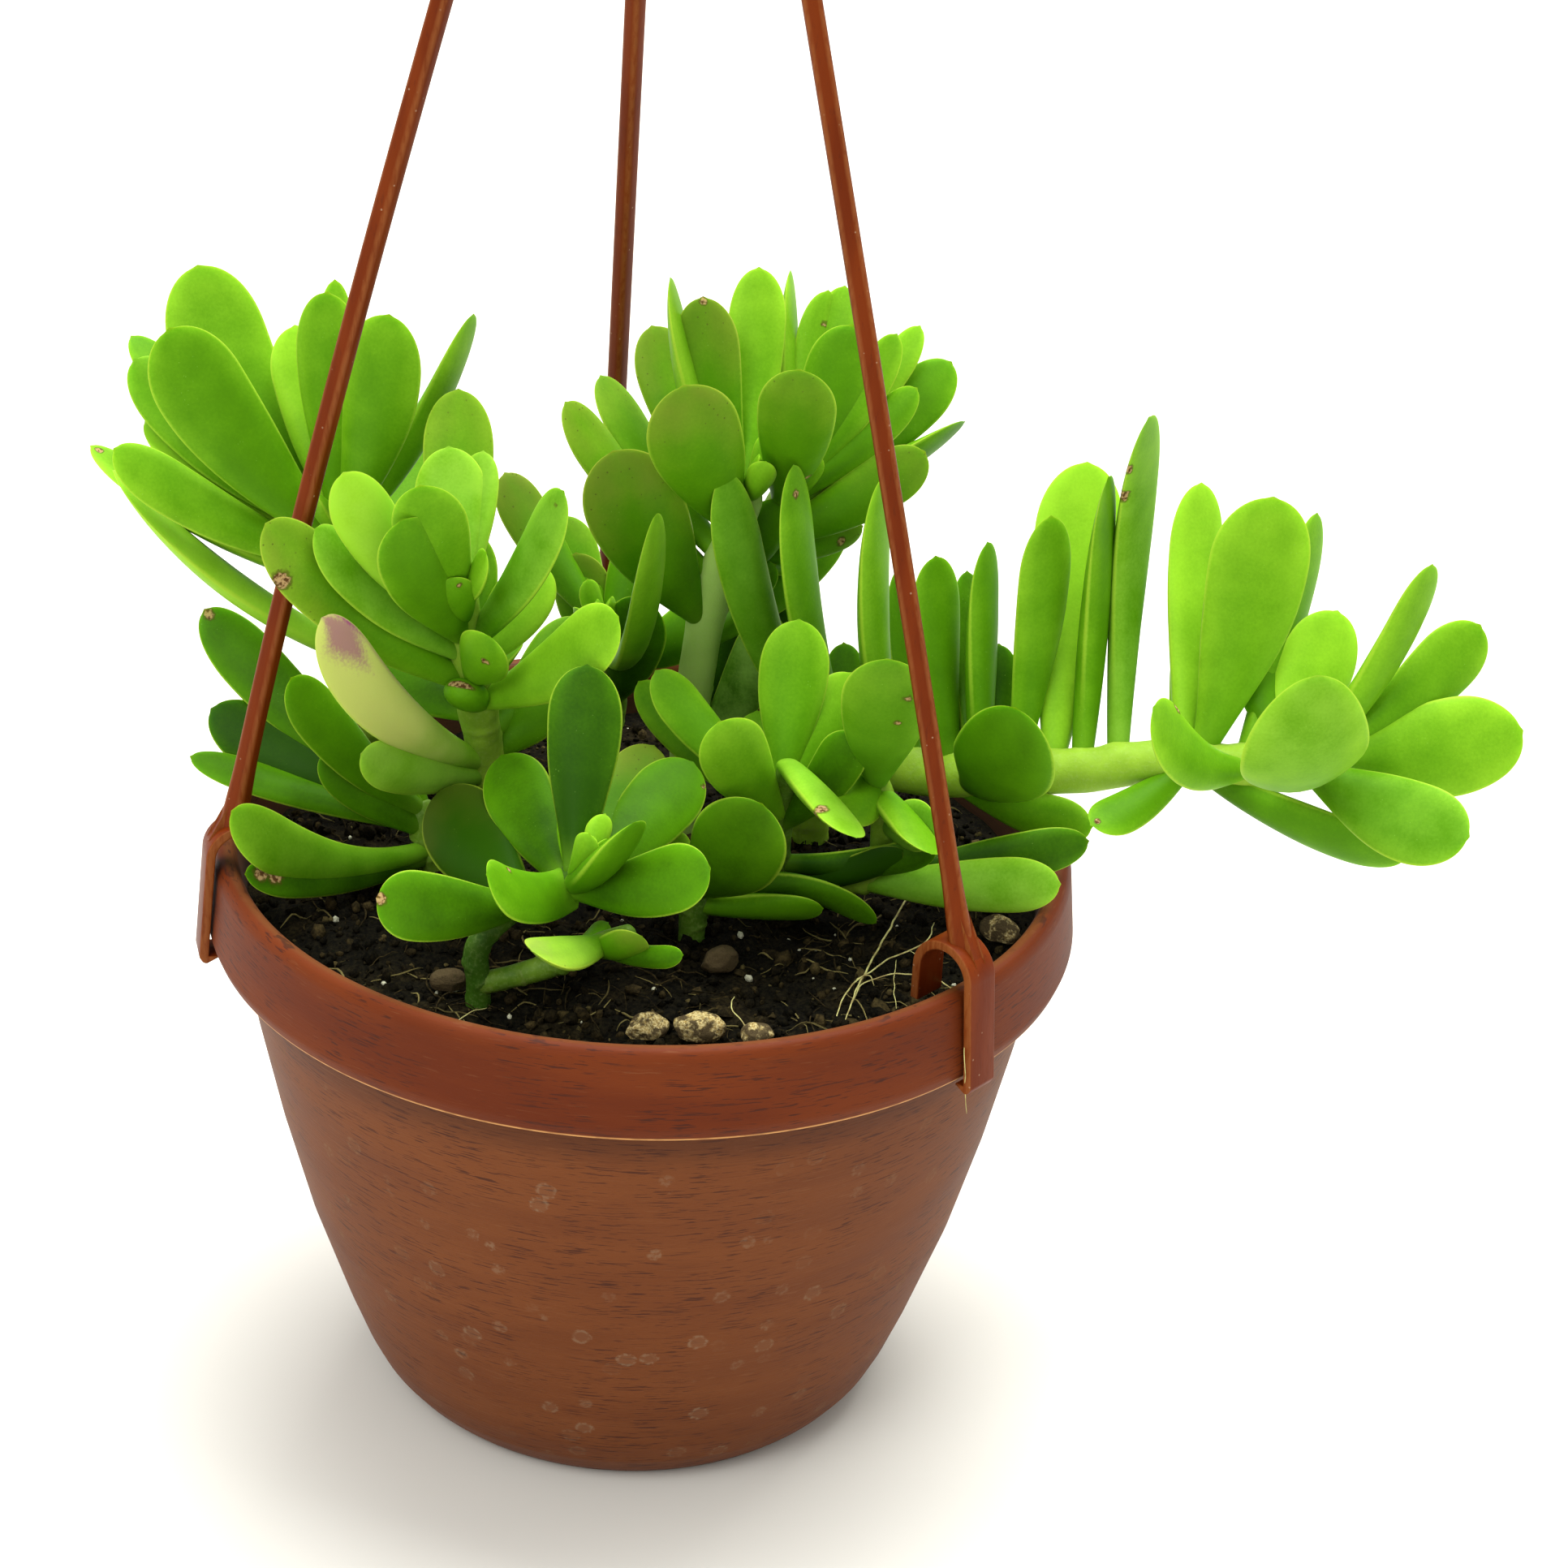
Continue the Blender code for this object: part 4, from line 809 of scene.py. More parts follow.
def stub_skin(foot, tip, width, high):
    """What is left of a shoot that was cut off: an oval peg that swells a little and ends in a dome, with a
    corky slit near the top of the dome. Returns the skin and what its points carry."""
    length = np.linalg.norm(tip - foot)
    run = (tip - foot) / length
    across = unit(np.cross(run, (0, 0, 1)))
    up = np.cross(across, run)
    s = 1 - (1 - np.linspace(0, 1, STUB_ROWS + 1)[:-1]) ** 2
    dome = (0.75 + 0.25 * np.minimum(s / 0.5, 1)) * np.sqrt(1 - (np.maximum(s - 0.5, 0) / 0.5) ** 2.4)
    aside = width / 2 * dome[:, None] * np.cos(turns_of(LEAF_COLUMNS))
    above = high / 2 * dome[:, None] * np.sin(turns_of(LEAF_COLUMNS))
    rings = (foot + np.outer(s * length, run))[:, None] - across * aside[..., None] + up * above[..., None]
    count = len(s) * LEAF_COLUMNS
    blade = np.stack([np.zeros(count), np.repeat(0.35 + 0.3 * s, LEAF_COLUMNS), np.zeros(count)], axis=-1)
    slit = np.hypot(aside / 2.3, (above - 0.9 + 0.25 * aside ** 2 / width) / 0.65).ravel()
    slit = np.where(np.repeat(s, LEAF_COLUMNS) > 0.6, slit, NO_MARK)
    blade = np.concatenate([blade, blade[[0, -1]]])
    return skin(rings, foot, tip), blade, np.concatenate([slit, [NO_MARK, 1.6]])


def back_leaves(line, count, middle, spread, length, low, high):
    """The leaves of a head's back: a fan of equal turns, that rise by 30, 55 and 42.5 degrees, and of which
    every other one is shorter."""
    found = []
    for k in range(count):
        share = k / (count - 1) if count > 1 else 0.5
        azimuth = radians(middle + (share - 0.5) * spread)
        rise_by = radians(30.0 + 12.5 * (2 * k % 3))
        foot = on_line(line, low + (high - low) * share)
        level = np.array([sin(azimuth), -cos(azimuth), 0]) * cos(rise_by)
        tip = foot + (level + (0, 0, sin(rise_by))) * length * (1 - 0.12 * (k % 2))
        found.append((foot, tip, BACK_WIDTH, 0.0, dict(bow=BACK_BOW, tone=0.0)))
    return found


def bud_leaves(line, draw):
    """The youngest leaves, in a small cluster at the stem's end: short, upright and turned inwards."""
    end = line[-1]
    run = unit(line[-1] - line[-8])
    side = unit(np.cross(run, (0.3, 1, 0.1)))
    found = []
    for k in range(BUD_LEAVES):
        turn = 2.4 * k + draw.uniform(0, 1)
        out = side * cos(turn) + np.cross(run, side) * sin(turn)
        length = BUD_LENGTH + BUD_LONGER * k
        tip = end + (run * (1 - 0.09 * k) + out * (0.12 + 0.12 * k)) * length
        foot = end - run * 1.5 + out * 0.3
        width = BUD_WIDTH + BUD_WIDER * k
        found.append((foot, tip, width, degrees_to(tip - end, out), dict(tone=0.35)))
    return found


def degrees_to(run, out):
    """The turn that makes a leaf's face point along out."""
    run = unit(run)
    face = unit(FACING - (FACING @ run) * run)
    return np.degrees(np.arctan2(np.cross(run, face) @ out, face @ out))


def stem_skin(line, radius, feet, draw):
    """A stem: a tube that tapers over the last quarter and closes in a dome, with ripples, a swelling under
    each leaf and the low ridges that fallen leaves leave on the older wood. Its points carry how much they
    are ridge, and how old the wood is."""
    length = np.linalg.norm(np.diff(line, axis=0), axis=1).sum()
    s = np.linspace(0, 1, len(line))
    plain = radius * (1 - TAPER * np.clip((s - 0.75) / 0.25, 0, 1))
    plain = plain * np.sqrt(1 - np.clip((s - 0.96) / 0.045, 0, 1) ** 2)
    rings = swept(line, 1.0, (0.1, 1, 0.2), STEM_COLUMNS) - line[:, None]
    swell = np.zeros(rings.shape[:2])
    for share, way in feet:
        gap = (s - share) * length
        toward = np.clip(rings @ unit(way), 0, 1)
        swell += SWELLING[0] * np.exp(-(gap[:, None] / SWELLING[1]) ** 2) * toward ** 2
    lowest = min(share for share, _ in feet)
    scars = np.zeros(rings.shape[:2])
    for k, share in enumerate(np.arange(0.06, lowest + 0.25, SCAR_STEP / length)):
        way = rings[0] @ unit(rings[0, (k * 11) % STEM_COLUMNS])
        gap = (s[:, None] - share) * length + 1.2 * (1 - way)[None]
        scars += np.exp(-(gap / SCAR_WIDTH) ** 2) * np.clip(way, 0, 1)[None] ** 0.7
    grow = plain[:, None] + np.minimum(swell, 1.3) + SCAR_HEIGHT * np.minimum(scars, 1)
    depth, wave = STEM_RIPPLE
    grow += depth * ripple((line[:, None] + rings * 3).reshape(-1, 3), draw, wave).reshape(grow.shape)
    rings = line[:, None] + rings * grow[..., None]
    old = np.clip(1.25 - s / max(lowest + 0.12, 0.2), 0, 1)
    carried = np.stack(np.broadcast_arrays(np.minimum(scars, 1), old[:, None], 0.0), axis=-1)
    return skin(rings, line[0]), np.concatenate([carried.reshape(-1, 3), [carried[0, 0], carried[-1, 0]]])


def leaf_finish():
    """Fleshy leaf: a saturated green that is deep in some leaves and light in others, partly its own colour
    and partly painted shade on leaves low among others and painted light on leaves the lamps catch or shine
    through;
    darker towards the foot as painted shade and lighter towards the margins as painted light shining through;
    finely pitted, with a pale margin that is partly its own colour and partly a painted glow of light through
    the edge. By leaf it is olive or flushed with purple at its end, bloomed, or marked with cork."""
    finish, shader, place = new_finish("fleshy_leaf", Specular_IOR_Level=0.06, Subsurface_Weight=0.12,
                                       Subsurface_Radius=(0.5, 1.0, 0.1), Subsurface_Scale=0.003)
    across, along, _ = parts_of(field(place, "blade", 1))
    olive, bloom, blush = parts_of(field(place, "tint", 1))
    tone = field(place, "tone", 2)
    mark = field(place, "mark", 2)
    grain = noise(place, 1.8, 3, 0.6)
    cloud = noise(place, 0.13, 2)
    edge = abs(across)
    # Painted light and shade: a leaf's tone gives partly lit and shaded copies of the green, the foot is
    # darker as painted shade, and the margins are lighter as painted light shining through.
    lift = tone * 0.40 + along * 0.16 + (cloud - 0.5) * 0.25 + (grain - 0.5) * 0.14
    lift = lift + rise(edge, 0.4, 1.0) * 0.12 + 0.33
    dust = bloom * rise(cloud + grain * 0.3, 0.35, 0.8)
    ripe = olive * rise(along + edge * 0.2 + (cloud - 0.5) * 0.5, 0.58, 1.22)
    pale = blush * rise(along + (cloud - 0.5) * 0.2, 0.10, 0.5)
    away = abs(along - 0.91) * 4.5 + abs(across - 0.35) * 0.8 + (grain - 0.5) * 0.7
    flush = rise(away, 1.0, 0.35) + rise(across, 0.75, 1.0) * rise(along, 0.35, 0.6) * 0.6
    # The pale margin: partly the leaf's own colour, partly a painted glow of light through the edge.
    pale_margin_and_glow = rise(edge + (grain - 0.5) * 0.03, 0.93, 1.0) * rise(along, 0.1, 0.5)
    bright = mix(ripe * 0.6, (0.420, 0.620, 0.0450), (0.400, 0.300, 0.0600))
    fleck = rise(cells(place, 1.1), 0.13, 0.07) * rise(noise(place, 0.22, 1), 0.55, 0.68)
    speck = rise(cells(place, 0.62), 0.14, 0.07) * rise(ripe + olive * 0.15, 0.1, 0.6)
    ragged = mark + (noise(place, 1.1, 3) - 0.5) * 0.9
    cork = rise(ragged, 1.0, 0.8)
    bark = mix(rise(noise(place, 1.6, 2), 0.42, 0.62), (0.420, 0.280, 0.1200), (0.090, 0.040, 0.0120))
    colour = coated(
        mix(rise(lift, 0.0, 0.55), (0.016, 0.062, 0.0005), (0.088, 0.262, 0.0025)),
        (rise(lift, 0.40, 1.0), (0.330, 0.650, 0.0260)),
        (rise(along, 0.22, 0.0) * 0.4, (0.200, 0.420, 0.0200)),
        (dust * 0.5, (0.260, 0.460, 0.0800)),
        (ripe * 0.75, (0.165, 0.165, 0.0220)),
        (pale * 0.8, (0.640, 0.610, 0.1800)),
        (blush * flush * 0.85, (0.300, 0.075, 0.1700)),
        (pale_margin_and_glow * 0.55, bright),
        (fleck * 0.30, (0.300, 0.520, 0.0900)),
        (speck * 0.65, (0.060, 0.040, 0.0100)),
        (rise(ragged, 1.35, 1.0) * 0.7, (0.075, 0.060, 0.0080)),
        (cork, bark))
    shine = 0.42 + grain * 0.10 + dust * 0.2 + cork * 0.3
    height = noise(place, 2.6, 2) * 0.6 + cloud * 0.4 - cork * 0.5
    paint(shader, colour, shine, height, 0.08, 0.4)
    return finish


def stem_finish():
    """Succulent stem: smooth and green, light or deep by stem, partly its own colour and partly painted shade
    and light, and grey with bloom on some, faintly streaked, with low darker rings where leaves have fallen,
    and a little brown cork near the soil."""
    finish, shader, place = new_finish("green_stem", Specular_IOR_Level=0.16, Subsurface_Weight=0.10,
                                       Subsurface_Radius=(0.5, 1.0, 0.15), Subsurface_Scale=0.003)
    ridge, old, _ = parts_of(field(place, "wood", 1))
    grey, _, _ = parts_of(field(place, "tint", 1))
    tone = field(place, "tone", 2)
    grain = noise(place, 1.6, 3, 0.6)
    cloud = noise(place, 0.25, 3)
    # Painted light and shade: a stem's tone is partly its own colour, partly lit and shaded copies of the
    # green.
    lift = tone * 0.5 + (cloud - 0.5) * 0.4 + 0.5
    corky = rise(old * 0.8 + (cloud - 0.5) * 0.9 + ridge * 0.2, 0.80, 1.15)
    bark = mix(rise(grain, 0.35, 0.65), (0.100, 0.075, 0.0280), (0.230, 0.200, 0.0900))
    colour = coated(
        mix(rise(lift, 0.0, 1.0), (0.030, 0.095, 0.0040), (0.320, 0.540, 0.0300)),
        (grey * 0.8, (0.380, 0.580, 0.1500)),
        (rise(grain, 0.45, 0.75) * 0.15, (0.420, 0.560, 0.1800)),
        (corky * 0.6, bark),
        (ridge * rise(grain, 0.3, 0.6) * 0.25, (0.120, 0.160, 0.0300)))
    paint(shader, colour, 0.45 + grain * 0.15 + corky * 0.3, grain + ridge * 0.5, 0.14, 0.6)
    return finish


green = leaf_finish()
wood = stem_finish()
for number, (name, stems) in enumerate(SHOOTS.items()):
    draw = np.random.default_rng(100 + number)
    made = []
    for stem in stems:
        line = smooth_line(stem["points"], STEM_POINTS)
        leaves, feet = [], []
        for share, x, y, z, width, turn, tone, *more in stem["leaves"]:
            foot, tip = on_line(line, share), np.array([x, y, z], float)
            leaves.append((foot, tip, width, turn, dict(*more, tone=tone)))
            feet.append((share, tip - foot))
        leaves += back_leaves(line, *stem["back"]) if "back" in stem else []
        leaves += bud_leaves(line, draw) if stem.get("bud", True) else []
        shape, wooden = stem_skin(line, stem["radius"], feet, draw)
        grey = (stem.get("grey", 0.0), 0.0, 0.0)
        made.append((shape, 1, dict(tint=grey, tone=stem["tone"], wood=wooden)))
        for foot, tip, width, turn, own in leaves:
            if own.get("stub"):
                shape, blade, near = stub_skin(foot, tip, width, STUB_FLATNESS * width)
            else:
                shape, blade, near = leaf_skin(foot, tip, width, turn, draw, **own)
            tint = [own.get(key, 0.0) for key in ("olive", "bloom", "blush")]
            tone = own["tone"] + draw.uniform(-TONE_SPREAD, TONE_SPREAD)
            made.append((shape, 0, dict(blade=blade, tint=tint, tone=tone, mark=near)))
    skins, kinds, values = zip(*made)
    carried = {key: [np.broadcast_to(own.get(key, 0.0), (len(points), *size))
                     for (points, _), own in zip(skins, values)] for key, size in CARRIED.items()}
    shoot = new_piece("leafy_" + name, skins, [green, wood], carried, sharp=70, kinds=kinds)
    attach(shoot, "root")
    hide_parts(name)

# Rootlets. Dry, straw-coloured roots as thin as thread that have worked out of the soil in front. They lie on
# the soil, and one is caught under the right clip and hangs over the band.
ROOTLETS = [
    ([(53.1, 1.0, 106), (48.7, -8.1, 104.5), (44.7, -19.4, 103.5), (40.8, -31.5, 103), (38, -41, 102.8),
      (35.8, -49.9, 102)], 0.18),
    ([(53, -14.6, 102.5), (52.2, -19.8, 103), (50.7, -23.4, 103), (48, -26, 103), (44.5, -29.5, 103.2),
      (41.1, -33.8, 103), (38.3, -37.4, 103), (35.8, -43.2, 102.8), (33.9, -51.2, 102)], 0.1425),
    ([(37.3, -43.7, 102), (38.8, -39.4, 103), (41.7, -37.2, 103.5), (44.6, -36.4, 104), (48, -38.2, 105),
      (51.3, -41.7, 106.5), (53.5, -47, 108), (54.9, -51.7, 109)], 0.12),
    ([(48.3, -26.3, 103), (50.3, -30.8, 104), (51.4, -36.5, 105), (52.2, -41.4, 106)], 0.09),
    ([(45.7, -29, 102.6), (44.9, -35.4, 102.6), (44.8, -41.1, 102.6), (44.9, -45.3, 102)], 0.075),
    ([(38.2, -37.1, 103), (39.8, -35.9, 103.2), (40.9, -35.8, 103), (41.4, -37.5, 102)], 0.0975),
    ([(55.9, -58.6, 102.6), (56.1, -58.5, 100.2), (56.6, -57.9, 96.7), (57, -57.5, 93.1),
      (57.5, -57, 88.4)], 0.0825),
    ([(16.6, -42.8, 102), (15.9, -47.9, 103), (18, -53.8, 103.2), (18.7, -56.4, 102)], 0.105),
    ([(-32.4, -56.5, 102), (-29, -53.2, 103.2), (-26.3, -49.6, 102)], 0.0975),
]
ROOTLET_POINTS = 60
ROOTLET_SIDES = 8
ROOTLET_KINKS = (0.22, 5.0)


def rootlet_skin(points, radius, number):
    """A thread: a tube along a curve through the points, with small kinks, half as thick at its ends."""
    line = smooth_line(points, ROOTLET_POINTS)
    draw = np.random.default_rng(300 + number)
    depth, wave = ROOTLET_KINKS
    line += depth * np.stack([ripple(line, draw, wave) for _ in range(3)], axis=-1)
    s = np.linspace(-1, 1, ROOTLET_POINTS)
    return skin(swept(line, radius * (1 - 0.5 * s ** 4), (0.2, 0.3, 1), ROOTLET_SIDES))


def rootlet_finish():
    """Dry root: straw yellow, browner in places."""
    finish, shader, place = new_finish("dry_rootlet", Specular_IOR_Level=0.3)
    colour = mix(rise(noise(place, 0.4, 2), 0.35, 0.7), (0.62, 0.60, 0.22), (0.30, 0.23, 0.08))
    paint(shader, colour, 0.6 + noise(place, 2.0) * 0.2, noise(place, 3.0), 0.05, 0.5)
    return finish


threads = [rootlet_skin(*row, number) for number, row in enumerate(ROOTLETS)]
rootlets = new_piece("dry_rootlets", threads, [rootlet_finish()])
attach(rootlets, "root")

# Hanger strands. Three mouldings of a softer, redder plastic: each is a rod with blunt edges that ends in a
# strap bent over the pot's rim, its lip caught under the band, with a small web between rod and strap.
STRANDS = {"right": (46.8, 0.5), "left": (-77.0, 2.4), "back": (187.1, 0.6)}
APEX = np.array([-4.2, 0.0, 394.5])
ROD_RADIUS = 1.8
ROD_FOOT = (75.4, 118.4)
ROD_TOP_Z = 381.1
ROD_POINTS = 90
ROD_COLUMNS = 32
ROD_SQUARE = 2.9
ROD_FLARE = (0.28, 9.0)
STRAP_WIDTH = 6.6
STRAP_THICK = 1.7
ARCH_CENTRE = (74.0, 113.3)
ARCH_RADIUS = 5.75
ARCH_STEPS = 28
INNER_LEG_Z = 106.5
OUTER_LEG_FOOT = [(82.2, 94.0), (81.6, 92.9), (80.9, 92.6), (78.6, 93.8), (78.9, 94.1), (80.5, 94.1)]
WEB = [(74.5, 118.6), (79.6, 116.5), (76.9, 121.5), (74.6, 125.5)]
WEB_THICK = 2.4
MOULDED_EDGE = 0.28


def slab(outline, thick, out):
    """A flat moulding: its closed outline of (distance from the pot's axis, height), given clockwise, stands
    in the plane through the axis and the direction out. The edges are quarter rounds: rows across the
    thickness are inset by edge (1 - cos a) where they have edge (1 - sin a) left to the face."""
    corners = np.array(outline, float)[::-1]
    loop = rounded([corners[-1], *corners, corners[0]], 0.25, 2)[1:-1]
    step = unit(np.roll(loop, -1, axis=0) - loop)
    facing = np.stack([step[:, 1], -step[:, 0]], axis=-1)
    both = facing + np.roll(facing, 1, axis=0)
    inset = both / np.maximum((both * facing).sum(axis=1, keepdims=True), 0.6)
    a = np.linspace(0, pi / 2, 4)
    shrink = np.concatenate([MOULDED_EDGE * (1 - np.sin(a)), MOULDED_EDGE * (1 - np.sin(a[::-1]))])
    level = thick / 2 - MOULDED_EDGE * (1 - np.cos(a))
    level = np.concatenate([level, -level[::-1]])
    flat = loop[None] - inset[None] * shrink[:, None, None]
    up = np.array([0, 0, 1.0])
    rings = flat[..., :1] * out + flat[..., 1:] * up + level[:, None, None] * np.cross(out, up)
    count = len(loop)
    _, (quads, _) = skin(rings)
    low = np.arange(count)[None]
    high = (np.arange(count) + count * (len(level) - 1))[None, ::-1]
    # Where the painted highlight lies: on the rounded edges next to each face.
    wear_and_highlight = np.minimum(shrink / MOULDED_EDGE * 3, 1) * (np.abs(level) > thick / 2 - MOULDED_EDGE)
    return (rings.reshape(-1, 3), [quads, low, high]), np.repeat(wear_and_highlight, count)


def strap_outline():
    """The clip seen from the side: inner leg, arch over the rim, outer leg, and the lip under the band."""
    cx, cz = ARCH_CENTRE
    outer, inner = ARCH_RADIUS + STRAP_THICK / 2, ARCH_RADIUS - STRAP_THICK / 2
    turns = np.linspace(0, pi, ARCH_STEPS + 1)
    over = [(cx - outer * cos(a), cz + outer * sin(a)) for a in turns]
    under = [(cx + inner * cos(a), cz + inner * sin(a)) for a in turns]
    return [(cx - outer, INNER_LEG_Z), *over, *OUTER_LEG_FOOT, *under, (cx - inner, INNER_LEG_Z)]


def rod_skin(out, bow):
    """The rod: a square section with blunt corners, |cos|^n + |sin|^n = 1, carried from its foot in the strap
    to the hub, bowed out by bow x 6.75 s (1-s)^2, and flared at its foot by a bell curve."""
    foot = out * ROD_FOOT[0] + np.array([0, 0, ROD_FOOT[1]])
    top = (ROD_TOP_Z - ROD_FOOT[1]) / (APEX[2] - ROD_FOOT[1])
    s = top * np.linspace(0, 1, ROD_POINTS) ** 1.35
    line = foot + s[:, None] * (APEX - foot) + out * (bow * 6.75 * s * (1 - s) ** 2)[:, None]
    a = turns_of(ROD_COLUMNS) + pi / 4
    square = (np.abs(np.cos(a)) ** ROD_SQUARE + np.abs(np.sin(a)) ** ROD_SQUARE) ** (-1 / ROD_SQUARE)
    flare = 1 + ROD_FLARE[0] * np.exp(-((line[:, 2] - ROD_FOOT[1]) / ROD_FLARE[1]) ** 2)
    rings = swept(line, ROD_RADIUS * 0.94 * flare[:, None] * square[None], out, ROD_COLUMNS)
    # Where the painted highlight lies: along the blunt corners.
    wear_and_highlight = np.tile(np.clip((square - 1.06) / 0.06, 0, 1), ROD_POINTS)
    return skin(rings), np.concatenate([wear_and_highlight, [0, 0]])


def hanger_finish():
    """Red-brown plastic with a soft shine: faint tones along the rods, a painted highlight along the rods'
    corners and the moulded edges, broken up by scuffs, and small flecks.
    """
    finish, shader, place = new_finish("hanger_plastic", Specular_IOR_Level=0.08)
    wear_and_highlight = field(place, "wear_and_highlight", 2)
    tones = noise(times(place, (0.2, 0.2, 0.03)), 1.0, 2)
    scuffs = noise(times(place, (1.6, 1.6, 0.25)), 1.0, 3, 0.6)
    fleck = rise(cells(place, 0.55), 0.12, 0.07) * rise(noise(place, 0.2), 0.5, 0.6)
    colour = coated(
        mix(rise(tones, 0.3, 0.7), (0.114, 0.0155, 0.0012), (0.150, 0.0235, 0.0020)),
        (rise(scuffs, 0.56, 0.72) * 0.35, (0.060, 0.011, 0.003)),
        # Painted highlight along the corners and moulded edges, broken up by scuffs.
        (wear_and_highlight * (rise(scuffs, 0.3, 0.6) * 0.4 + 0.2), (0.280, 0.095, 0.025)),
        (fleck * 0.5, (0.42, 0.28, 0.17)))
    paint(shader, colour, 0.36 + scuffs * 0.16, scuffs, 0.06, 0.5)
    return finish


red_plastic = hanger_finish()
for name, (azimuth, bow) in STRANDS.items():
    out = np.array([sin(radians(azimuth)), -cos(radians(azimuth)), 0])
    made = [slab(strap_outline(), STRAP_WIDTH, out), rod_skin(out, bow), slab(WEB, WEB_THICK, out)]
    strand = new_piece("strand_" + name, [shape for shape, _ in made], [red_plastic],
                       {"wear_and_highlight": [wear_and_highlight for _, wear_and_highlight in made]}, sharp=45)
    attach(strand, "root")
    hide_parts("hanger_strand_" + name)

# Hub and hook. The strands meet under a round hub, and an open hook of the same plastic rises from it to go
# over a rail or a nail.
HUB_RADIUS = 7.5
HUB_Z = (382.0, 391.0)
HUB_EDGE = 1.4
HUB_COLUMNS = 72
HOOK_RADIUS = 14.0
HOOK_BAR = 2.25
HOOK_CENTRE_Z = 418.0
HOOK_ARC = (-35, 205)
HOOK_POINTS = 130
HOOK_COLUMNS = 30
BALL_SPARE = 0.35


def hub_skin():
    """A flat round boss with rounded edges and a low neck round the hook's bar."""
    low, high = HUB_Z
    side = [(0, high + 3.4), (HOOK_BAR + 0.2, high + 3.4), (HOOK_BAR + 0.7, high + 0.9),
            (HUB_RADIUS - 2.2, high), (HUB_RADIUS, high - 1.6), (HUB_RADIUS, low), (0, low)]
    points, faces = turned(rounded(side, HUB_EDGE, 6), HUB_COLUMNS)
    return points + (APEX[0], APEX[1], 0), faces


def hook_skin():
    """The bar: a round tube up from the hub and round most of a circle, that ends in a small ball."""
    x, y, _ = APEX
    rise_points = [(x, y, HUB_Z[1] - 4), (x, y, HUB_Z[1] + 4), (x + 5, y, HUB_Z[1] + 12)]
    turns = np.radians(np.arange(HOOK_ARC[0], HOOK_ARC[1] + 1, 30))
    ring = [(x + HOOK_RADIUS * cos(a), y, HOOK_CENTRE_Z + HOOK_RADIUS * sin(a)) for a in turns]
    line = smooth_line(rise_points + ring, HOOK_POINTS)
    left = np.linalg.norm(np.diff(line, axis=0), axis=1).sum() * (1 - np.linspace(0, 1, HOOK_POINTS))
    ball = HOOK_BAR + BALL_SPARE
    round_end = np.maximum(ball ** 2 - np.minimum(left - ball, ball) ** 2, 0.04) ** 0.5
    radius = np.where(left < 2 * ball, round_end, HOOK_BAR)
    radius = np.where(left > ball, np.maximum(radius, HOOK_BAR), radius)
    rings = swept(line, radius, (0, 1, 0), HOOK_COLUMNS)
    return skin(rings, line[0], line[-1])


made = [hub_skin(), hook_skin()]
without_highlight = [np.zeros(len(points)) for points, _ in made]
hook = new_piece("hub_and_hook", made, [red_plastic], {"wear_and_highlight": without_highlight})
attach(hook, "root")
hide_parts("hanger_hook")

# Floor. The pale matt sheet of card that the pot stands on, which the lamps light to a plain white.
FLOOR_HALF = 6000.0
FLOOR_LEVEL = -0.05


def floor_finish():
    """Matt card: a pale warm grey, its tone hardly uneven."""
    finish, shader, place = new_finish("pale_card", Specular_IOR_Level=0.1)
    colour = mix(noise(place, 0.004, 2), (0.690, 0.680, 0.620), (0.710, 0.700, 0.640))
    paint(shader, colour, 0.9 + noise(place, 0.2) * 0.05)
    return finish


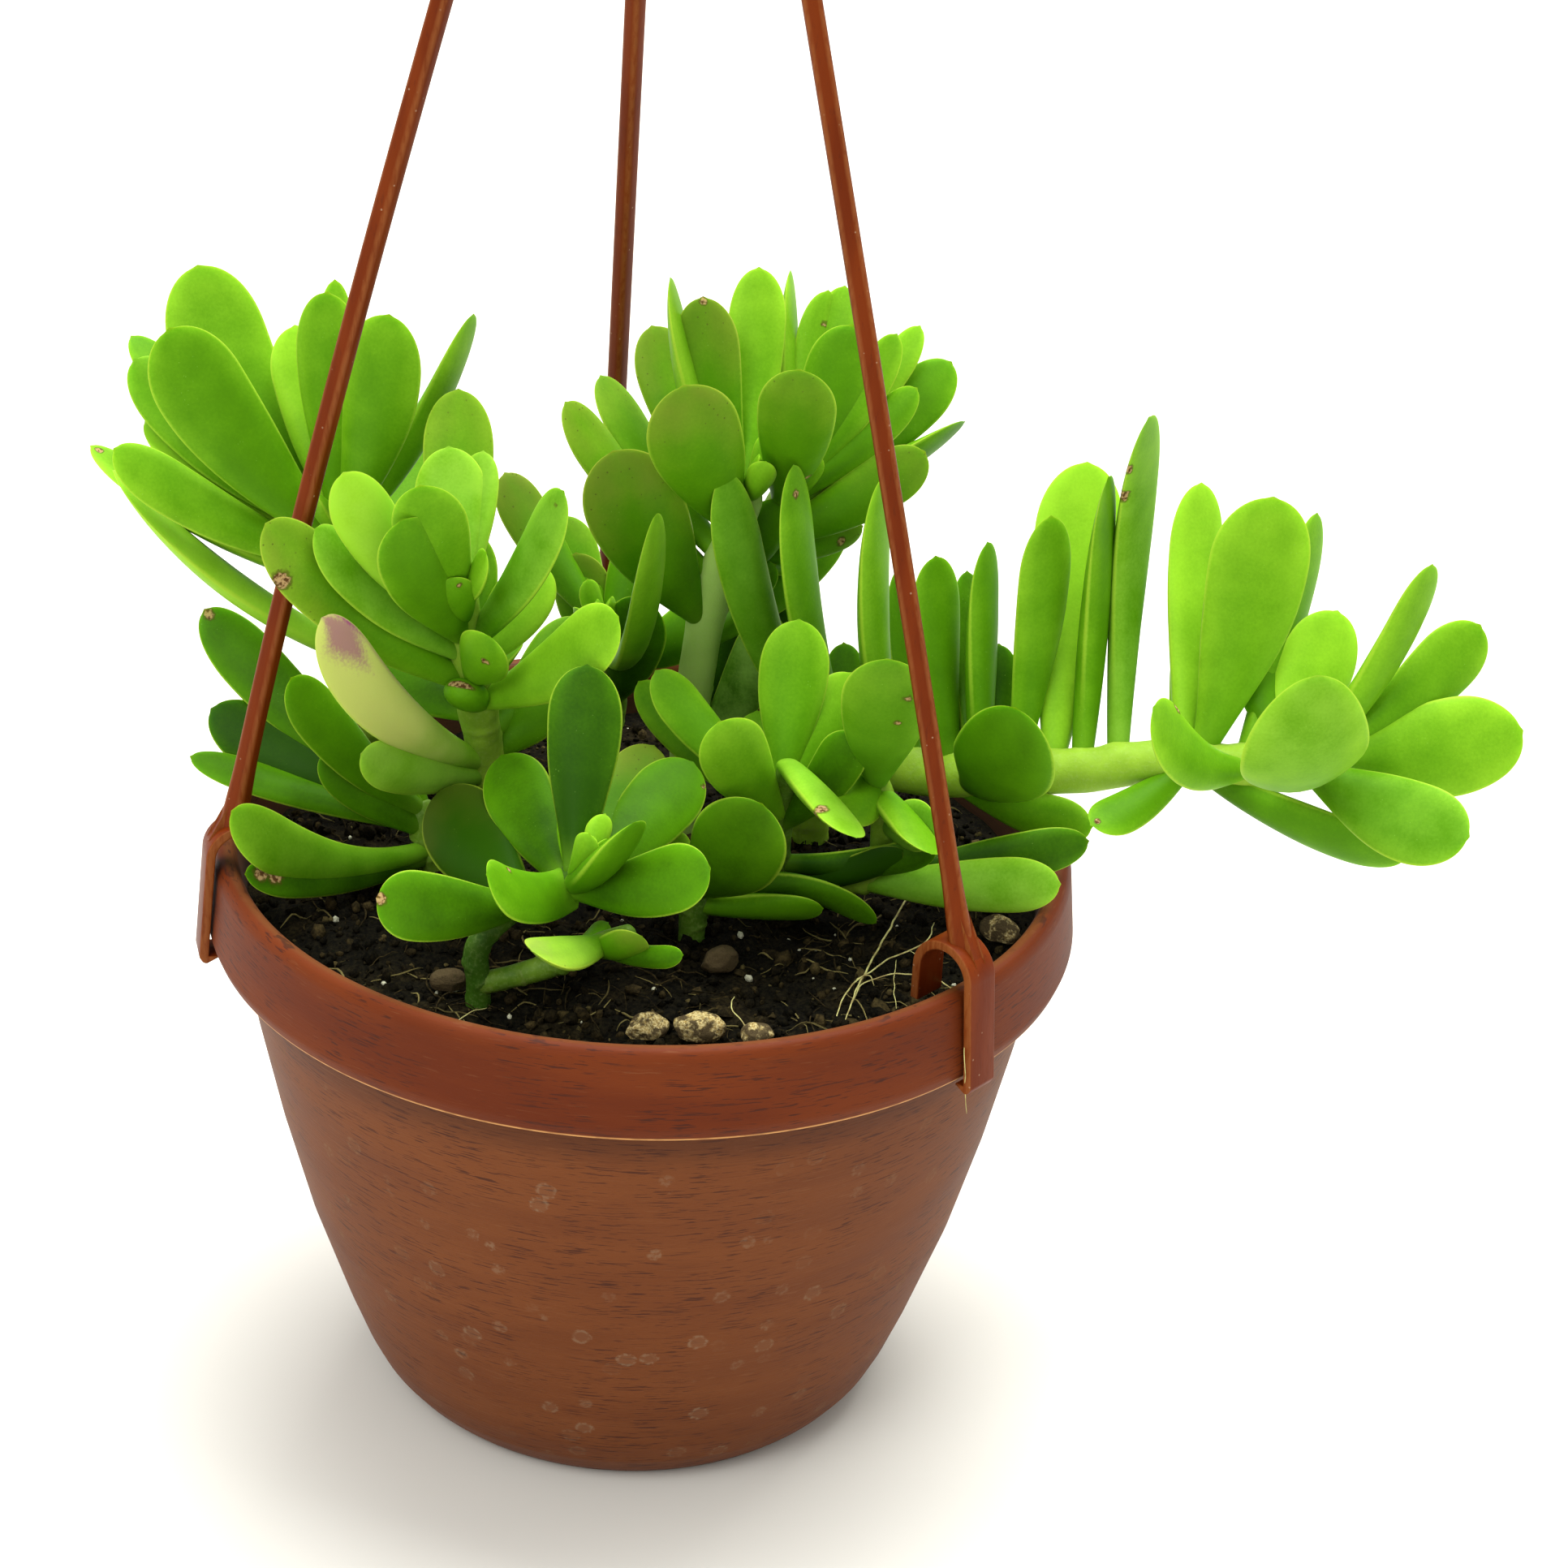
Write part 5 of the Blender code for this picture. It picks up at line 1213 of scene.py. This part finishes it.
corner = FLOOR_HALF * np.array([(-1, -1, 0), (1, -1, 0), (1, 1, 0), (-1, 1, 0)]) + (0, 0, FLOOR_LEVEL)
floor = new_piece("floor", [(corner, [np.array([[0, 1, 2, 3]])])], [floor_finish()])
floor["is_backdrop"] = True

# Light. A white tent all round, a broad soft lamp overhead and a little behind, and a smaller one high in
# front on the left. A lamp has its place and its size in metres, and its power in watts.
TENT_STRENGTH = 0.82
LAMPS = {"front_lamp": ((-0.70, -1.00, 1.30), 0.8, 13.0), "top_lamp": ((0.25, 0.55, 2.10), 1.8, 92.0)}
LAMP_TARGET = np.array([0, 0, 0.12])
world = bpy.data.worlds.new("white_tent")
world.use_nodes = True
background = world.node_tree.nodes["Background"]
background.inputs["Color"].default_value = (1.0, 1.0, 1.0, 1.0)
background.inputs["Strength"].default_value = TENT_STRENGTH
bpy.context.scene.world = world
for name, (spot, size, power) in LAMPS.items():
    lamp = bpy.data.objects.new(name, bpy.data.lights.new(name, "AREA"))
    lamp.data.size = size
    lamp.data.energy = power
    back = unit(spot - LAMP_TARGET)
    side = unit(np.cross((0, 0, 1), back))
    aim = Matrix((side.tolist(), np.cross(back, side).tolist(), back.tolist())).transposed()
    lamp.matrix_world = Matrix.Translation(spot) @ aim.to_4x4()
    bpy.context.scene.collection.objects.link(lamp)

# Camera. It looks down on the pot from in front, turned a little to the right and rolled.
CAMERA_PLACE = (0.0, -0.6184, 0.4375)
CAMERA_YAW = 2.32
CAMERA_PITCH = 26.99
CAMERA_ROLL = 3.08
SENSOR = 36.0
LENS = 87.24
yaw, pitch, roll = (radians(angle) for angle in (CAMERA_YAW, CAMERA_PITCH, CAMERA_ROLL))
forward = np.array([sin(yaw) * cos(pitch), cos(yaw) * cos(pitch), -sin(pitch)])
right = np.array([cos(yaw), -sin(yaw), 0.0])
upward = np.cross(right, forward)
right, upward = right * cos(roll) + upward * sin(roll), upward * cos(roll) - right * sin(roll)
camera = bpy.data.objects.new("camera", bpy.data.cameras.new("camera"))
camera.data.sensor_width = SENSOR
camera.data.lens = LENS
camera.data.clip_start = 0.01
turned_to = Matrix((right.tolist(), upward.tolist(), (-forward).tolist())).transposed()
camera.matrix_world = Matrix.Translation(CAMERA_PLACE) @ turned_to.to_4x4()
bpy.context.scene.collection.objects.link(camera)
bpy.context.scene.camera = camera
bpy.context.scene.view_settings.view_transform = "Standard"

low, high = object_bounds()
